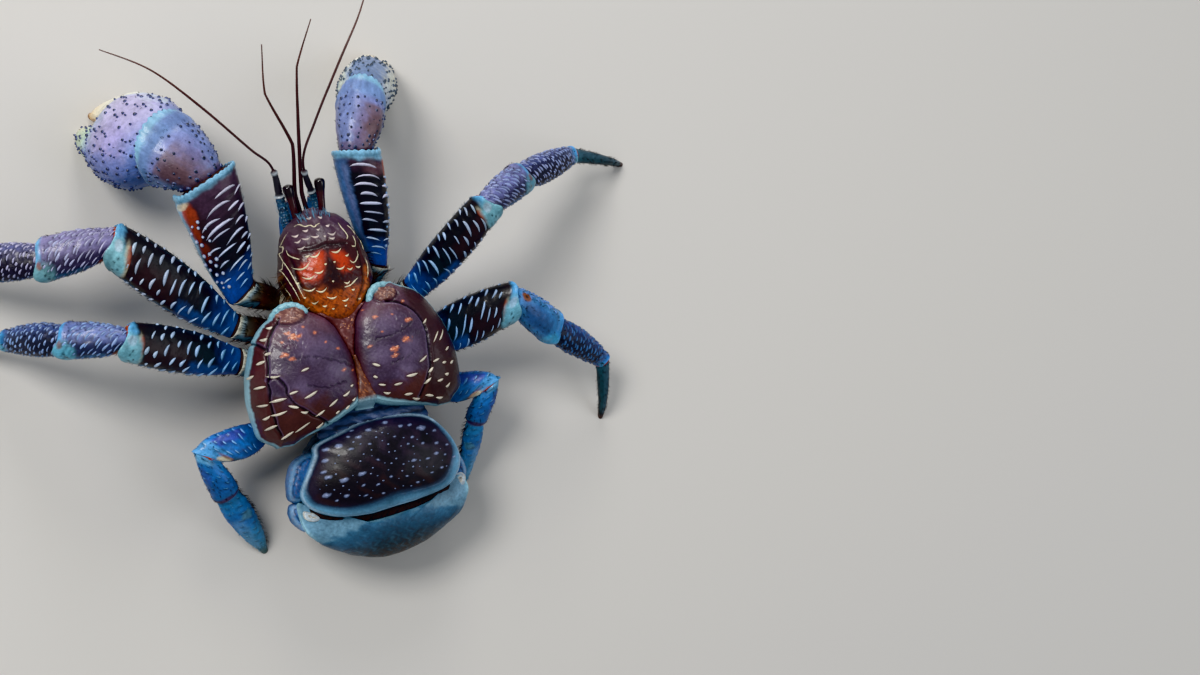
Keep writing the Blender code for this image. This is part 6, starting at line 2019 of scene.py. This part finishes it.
# Eyes, feelers and mouth limbs. A route is (x, y, z, radius) from base to tip, in mm.
feelerRoutes = {
    "antennule_left": ((-3.0, 57.0, 45.5, 1.5), (-4.5, 74.0, 50.0, 1.2), (-3.0, 99.0, 69.0, 0.95),
                       (-14.5, 126.5, 87.0, 0.6), (-11.5, 151.0, 96.0, 0.3)),
    "antennule_right": ((1.0, 57.0, 45.5, 1.5), (-0.8, 74.0, 51.0, 1.2), (1.4, 106.0, 73.0, 0.95),
                        (5.0, 136.5, 91.0, 0.6), (16.5, 158.5, 101.0, 0.3)),
    "antenna_left": ((-12.0, 54.0, 45.5, 3.0), (-13.0, 72.0, 48.5, 2.4), (-15.5, 90.0, 60.0, 1.4),
                     (-26.0, 102.0, 66.0, 0.85), (-48.0, 128.5, 76.0, 0.7), (-69.0, 151.5, 80.0, 0.5),
                     (-91.0, 168.0, 73.0, 0.3)),
    "antenna_right": ((8.5, 54.0, 45.0, 2.8), (5.8, 70.0, 47.5, 2.1), (1.0, 89.0, 66.0, 1.3),
                      (11.5, 108.5, 74.0, 0.85), (30.5, 136.5, 84.0, 0.7), (45.0, 156.5, 88.0, 0.5),
                      (55.0, 173.0, 88.0, 0.3)),
}
feelerLook = {
    "whip": ((0.0, tint(40, 20, 26)), (0.4, tint(66, 36, 40)), (1.0, tint(104, 62, 54))),
    "base": tint(50, 92, 130), "baseDark": tint(22, 34, 60), "second": tint(62, 60, 66),
    "bead": tint(196, 206, 214), "scale": tint(128, 168, 196), "baseEnd": 21.0, "secondEnd": 36.0,
}
eyeLook = {
    "radii": (2.0, 2.0, 2.1, 2.3, 2.6, 2.95, 3.05, 2.8, 2.2, 1.3, 0.3),
    "places": (0.0, 0.2, 0.4, 0.55, 0.68, 0.8, 0.88, 0.94, 0.97, 0.99, 1.0),
    "stalk": tint(62, 24, 26), "lens": tint(20, 5, 8),
    "base": (7.5, 59.0, 51.0), "tip": (9.2, 79.0, 57.5),
}
mouthLimb = {
    "base": (9.0, 44.0, 22.0), "tip": (7.5, 72.0, 33.0), "widths": (10.0, 9.5, 8.0, 4.0), "depth": 0.85,
    "bow": -3.0,
}
feelerSides, eyeSides = 14, 32


def endsOf(limb, side):
    # Base and tip of an eye or mouth limb, given for the right side
    return [np.array(limb[end]) * (side, 1, 1) for end in ("base", "tip")]


def tubeSkin(route, radii, along):
    # Skin of a tube: along in mm from its start, around as an angle in radians
    ways = unit(np.gradient(route, axis=0))
    sides = unit(np.cross(ways, (0.0, 0.0, 1.0)) + np.array((1e-6, 0, 0)))
    ups = np.cross(sides, ways)

    def skin(place, around):
        place, around = np.broadcast_arrays(np.asarray(place, float), np.asarray(around, float))
        middle, side, up = (np.stack([np.interp(place, along, table[:, part]) for part in range(3)], -1)
                            for table in (route, sides, ups))
        normal = unit(side * np.cos(around)[..., None] + up * np.sin(around)[..., None])
        return middle + normal * np.interp(place, along, radii)[..., None], normal
    return skin


def tubeUnwrap(along, around):
    return np.stack((np.asarray(around) / tau % 1.0, np.clip(np.asarray(along) / 200.0, 0, 1)), -1)


def paintAntenna(route, radii, along, colour):
    # The thick scaly base, the grey second joint and the pale bead where the whip begins
    look = feelerLook
    base = 1 - smoothStep(along, look["baseEnd"] - 0.4, look["baseEnd"] + 0.4)
    second = 1 - smoothStep(along, look["secondEnd"] - 0.4, look["secondEnd"] + 0.4)
    blotch = smoothStep(softWave(route[:, 0] * 2, route[:, 1] * 2, route[:, 2]), -0.2, 0.5)
    colour = mixColour(colour, (look["second"], second),
                       (mixColour(look["base"], (look["baseDark"], blotch)), base))
    bead = bell(along - look["secondEnd"], 0.9) + bell(along - look["baseEnd"], 0.8)
    colour = mixColour(colour, (look["bead"], np.clip(bead, 0, 1)))
    neck = 1 - 0.12 * bell(along - look["baseEnd"] - 2.0, 1.2)
    radii = np.where(along > look["secondEnd"] + 1.5, np.minimum(radii, 0.7), radii) * (1 + 0.3 * bead) * neck
    return radii, colour


def antennaScales():
    marks = []
    rows, columns = 8, 6
    for row in range(rows):
        for column in range(columns):
            spot = 2.0 + row * 2.4 + draws.uniform(-0.6, 0.6)
            angle = (column + 0.5 * (row % 2)) / columns * tau + draws.uniform(-0.25, 0.25)
            size = draws.uniform(0.5, 1.1)
            pale = feelerLook["scale"] * draws.uniform(0.4, 1.1)
            marks.append((spot, angle, size, size * 0.8, 0.4, 0.0, feelerLook["baseDark"], pale))
    return marks


feelerSkins = {}


def addFeelers():
    for name, stations in feelerRoutes.items():
        stations = np.array(stations)
        t = np.linspace(0, 1, 300)
        route = smoothThrough(stations[:, :3], t)
        if name.startswith("antennule"):
            places = np.linspace(0, 1, len(stations))
            straight = np.stack([np.interp(t, places, part) for part in stations[:, :3].T], -1)
            route = route * 0.35 + straight * 0.65
        radii = np.maximum(smoothThrough(stations[:, 3], t), 0.22)
        along = np.concatenate(([0.0], np.cumsum(np.linalg.norm(np.diff(route, axis=0), axis=1))))
        colour = rampColour(feelerLook["whip"], t) * (0.8 + 0.2 * np.cos(along * 4.0))[:, None]
        if name.startswith("antenna_"):
            radii, colour = paintAntenna(route, radii, along, colour)
        radii = radii * (1 + 0.07 * np.sin(along * 4.0))
        feelerSkins[name] = tubeSkin(route, radii, along)
        if name.startswith("antenna_"):
            scales = makeBumps(feelerSkins[name], antennaScales(), tubeUnwrap, 6)
            addPiece(name + "_scales", scales, "ridgeShell", "feeler")
        shape = paintedTube(tubeGrid(route, radii, feelerSides), ringPaint(colour, feelerSides))
        addPiece(name + "_whip", shape, "hornTip", "feeler", name)


def addEyes():
    for name, side in (("left", -1), ("right", 1)):
        start, end = endsOf(eyeLook, side)
        t = np.linspace(0, 1, 60)
        radii = smoothTable(eyeLook["places"], eyeLook["radii"], t)
        grid = tubeGrid(start + (end - start) * t[:, None], radii, eyeSides)
        colour = rampColour(((0.0, eyeLook["stalk"]), (0.6, eyeLook["stalk"] * 0.8),
                             (0.72, eyeLook["lens"]), (1.0, eyeLook["lens"])), t)
        shape = paintedTube(grid, ringPaint(colour, eyeSides))
        addPiece("eye_" + name + "_stalk", shape, "wetEye", "eye", "eye_" + name)


def addMouthLimbs():
    for name, side in (("left", -1), ("right", 1)):
        start, end = endsOf(mouthLimb, side)
        way = unit(end - start)
        node = "maxilliped_" + name
        profile = plainProfile(mouthLimb["widths"], mouthLimb["depth"], mouthLimb["bow"])
        form = makeForm((start, way), (end, way), profile)
        shape = limbShell(node, form, side, looks["smallCarpus"], [], "blunt")
        addPiece(node + "_shell", shape, "limbShell", "limb_blue", node)


addFeelers()
addEyes()
addMouthLimbs()
print("Crab: face built,", pieceCount, "pieces")

# Bristles, in tufts of a few hairs. A row on a kind of limb piece is (tufts, from, to, first angle,
# last angle, shortest, longest, thickness, lean to the tip, colour), in mm and degrees.
bristleColours = {
    "dark": tint(32, 21, 22), "amber": tint(122, 78, 48), "pale": tint(196, 200, 200),
    "blue": tint(116, 168, 200),
}
bristleRows = {
    "walkIschium": ((70, 0.08, 0.92, 10, 175, 4.0, 7.5, 0.24, 1.5, "dark"),
                    (16, 0.1, 0.9, 20, 170, 3.5, 6.0, 0.2, 1.5, "amber")),
    "smallIschium": ((40, 0.08, 0.95, 10, 175, 3.0, 5.5, 0.22, 1.5, "dark"),),
    "walkMerus": ((46, 0.03, 0.94, -16, 6, 1.4, 2.8, 0.2, 1.1, "pale"),
                  (46, 0.03, 0.94, 172, 196, 1.4, 2.8, 0.2, 1.1, "dark")),
    "clawMerus": ((50, 0.03, 0.94, -16, 4, 1.6, 3.2, 0.2, 1.1, "pale"),
                  (34, 0.03, 0.94, 176, 198, 1.2, 2.4, 0.2, 1.1, "pale")),
    "walkCarpus": ((110, 0.03, 1.0, -24, 192, 0.8, 1.7, 0.22, 1.3, "dark"),),
    "walkPropodus": ((150, 0.03, 0.98, -24, 196, 0.8, 1.9, 0.22, 1.3, "dark"),),
    "walkDactyl": ((130, 0.02, 0.86, 0, 360, 1.0, 2.0, 0.24, 1.1, "dark"),),
    "smallMerus": ((46, 0.05, 0.95, 0, 190, 0.9, 1.8, 0.2, 1.2, "dark"),),
    "smallCarpus": ((60, 0.03, 0.97, 0, 200, 1.0, 2.2, 0.2, 1.2, "dark"),),
    "smallHand": ((70, 0.03, 0.94, 150, 210, 2.0, 4.2, 0.22, 1.1, "dark"),
                  (60, 0.03, 0.94, 0, 180, 0.9, 1.8, 0.2, 1.2, "blue")),
    "clawCarpus": ((70, 0.03, 1.0, -20, 200, 0.8, 1.6, 0.22, 1.2, "dark"),),
    "clawPalm": ((110, 0.03, 0.9, -60, 240, 0.8, 1.6, 0.22, 1.2, "dark"),),
}
bristleRows["clawIschium"] = bristleRows["walkIschium"]
# Rows on the head shield and the feelers' bases: (tufts, x or angle range, y or along range,
# shortest, longest, thickness, lean ahead, lean to the left, colour)
headRows = (
    (60, (-25.6, -24.2), (3.0, 30.0), 5.0, 10.0, 0.26, -0.9, 0.3, "dark"),
    (26, (-25.4, -23.6), (4.0, 34.0), 4.0, 8.0, 0.24, -0.8, 0.2, "amber"),
    (30, (23.8, 25.4), (6.0, 34.0), 3.0, 6.0, 0.22, -0.8, -0.2, "dark"),
    (40, (-9.0, 9.0), (56.0, 61.5), 2.0, 4.2, 0.22, 1.6, 0.0, "blue"),
)
feelerRow = (34, (0.0, tau), (3.0, 20.0), 1.4, 3.2, 0.2, 1.4, 0.0, "blue")
lowestRoot = 2.6  # mm over the floor
bristleDraws = np.random.default_rng(23)


def tuftMarks(tufts, around, along, shortest, longest, thick, ahead, aside, colour, spread, hairs=3):
    # Marks for makeBristles: a few hairs at each tuft, with spread as around per mm
    marks = []
    pick = bristleDraws.uniform
    for tuft in range(tufts):
        place, angle = pick(*along), pick(*around)
        for hair in range(hairs):
            marks.append((place + pick(-0.4, 0.4), angle + pick(-0.4, 0.4) * spread, pick(shortest, longest),
                          thick * pick(0.8, 1.2), ahead * pick(0.7, 1.3), aside + pick(-0.35, 0.35),
                          bristleColours[colour] * pick(0.6, 1.4)))
    return marks


def aboveFloor(skin, marks):
    # Leaves out hairs that would reach down through the floor
    heights = skin(*np.array([mark[:2] for mark in marks]).T)[0][:, 2]
    return [mark for mark, height in zip(marks, heights) if height > lowestRoot]


def limbBristles():
    # Every limb piece has its own square of the bristles' unwrap
    parts, cell = [], 0
    for name, forms in limbShapes.items():
        for piece, form in forms.items():
            perMm = radianPerMm(form, 0.5 * form["length"])
            skin, length = formSkin(form), form["length"]
            for row in lookUp(bristleRows, name, piece, ()):
                tufts, low, high, first, last, *size, lean, colour = row
                turned = (first, last) if limbs[name]["side"] < 0 else (180 - last, 180 - first)
                marks = tuftMarks(tufts, np.radians(turned), (low * length, high * length), *size,
                                  lean, 0.0, colour, perMm)
                marks = aboveFloor(skin, marks)
                if marks:
                    parts.append(makeBristles(skin, marks, formUnwrap(form, cell, 7)))
            cell += 1
    return parts


def headBristles():
    parts = [makeBristles(shieldSkin, tuftMarks(*row, 1.0), plateUnwrap) for row in headRows]
    for index, name in enumerate(("antenna_left", "antenna_right")):
        def place(along, around):
            # A small square for each feeler in the free corner of the plates' unwrap
            spot = np.stack((np.asarray(around) / tau % 1.0, np.asarray(along) / 22.0), -1)
            return spot * 0.12 + (0.02, 0.02 + index * 0.14)
        parts.append(makeBristles(feelerSkins[name], tuftMarks(*feelerRow, 0.5), place))
    return parts


addPiece("bristles_limbs", joinParts(limbBristles()), "bristle", "limb_dark")
addPiece("bristles_head", joinParts(headBristles()), "bristle", "head_shell")
print("Crab: bristles built,", pieceCount, "pieces")


# Floor and soft studio light
studio = {
    "floorSize": 6.0, "floorColour": (0.66, 0.64, 0.61, 1.0),
    "key": {"place": (-0.9, 0.9, 1.6), "size": 0.8, "power": 25.0, "colour": (1.0, 0.98, 0.95)},
    "fill": {"place": (1.3, -0.5, 1.3), "size": 1.4, "power": 6.0, "colour": (0.95, 0.97, 1.0)},
    "back": {"place": (0.3, 1.5, 0.9), "size": 0.7, "power": 8.0, "colour": (1.0, 1.0, 1.0)},
    "colours": "Khronos PBR Neutral",
    "sky": 0.34,
}


def addStudio():
    size = studio["floorSize"] / 2
    mesh = bpy.data.meshes.new("floor")
    mesh.from_pydata([(-size, -size, 0), (size, -size, 0), (size, size, 0), (-size, size, 0)], [],
                     [(0, 1, 2, 3)])
    floor = bpy.data.objects.new("floor", mesh)
    bpy.context.scene.collection.objects.link(floor)
    material = bpy.data.materials.new("paleFloor")
    material.use_nodes = True
    shader = material.node_tree.nodes["Principled BSDF"]
    shader.inputs["Base Color"].default_value = studio["floorColour"]
    shader.inputs["Roughness"].default_value = 0.85
    mesh.materials.append(material)
    for name in ("key", "fill", "back"):
        lamp = studio[name]
        light = bpy.data.lights.new(name, "AREA")
        light.shape = "DISK"
        light.size = lamp["size"]
        light.energy = lamp["power"]
        light.color = lamp["colour"]
        holder = bpy.data.objects.new(name, light)
        holder.location = lamp["place"]
        holder.rotation_euler = (-Vector(lamp["place"])).to_track_quat("-Z", "Y").to_euler()
        bpy.context.scene.collection.objects.link(holder)
    world = bpy.data.worlds.new("softRoom")
    world.use_nodes = True
    world.node_tree.nodes["Background"].inputs["Color"].default_value = (0.9, 0.95, 1.0, 1.0)
    world.node_tree.nodes["Background"].inputs["Strength"].default_value = studio["sky"]
    bpy.context.scene.world = world
    bpy.context.scene.view_settings.view_transform = studio["colours"]


addStudio()
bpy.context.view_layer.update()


print("Crab:", pieceCount, "pieces in place")
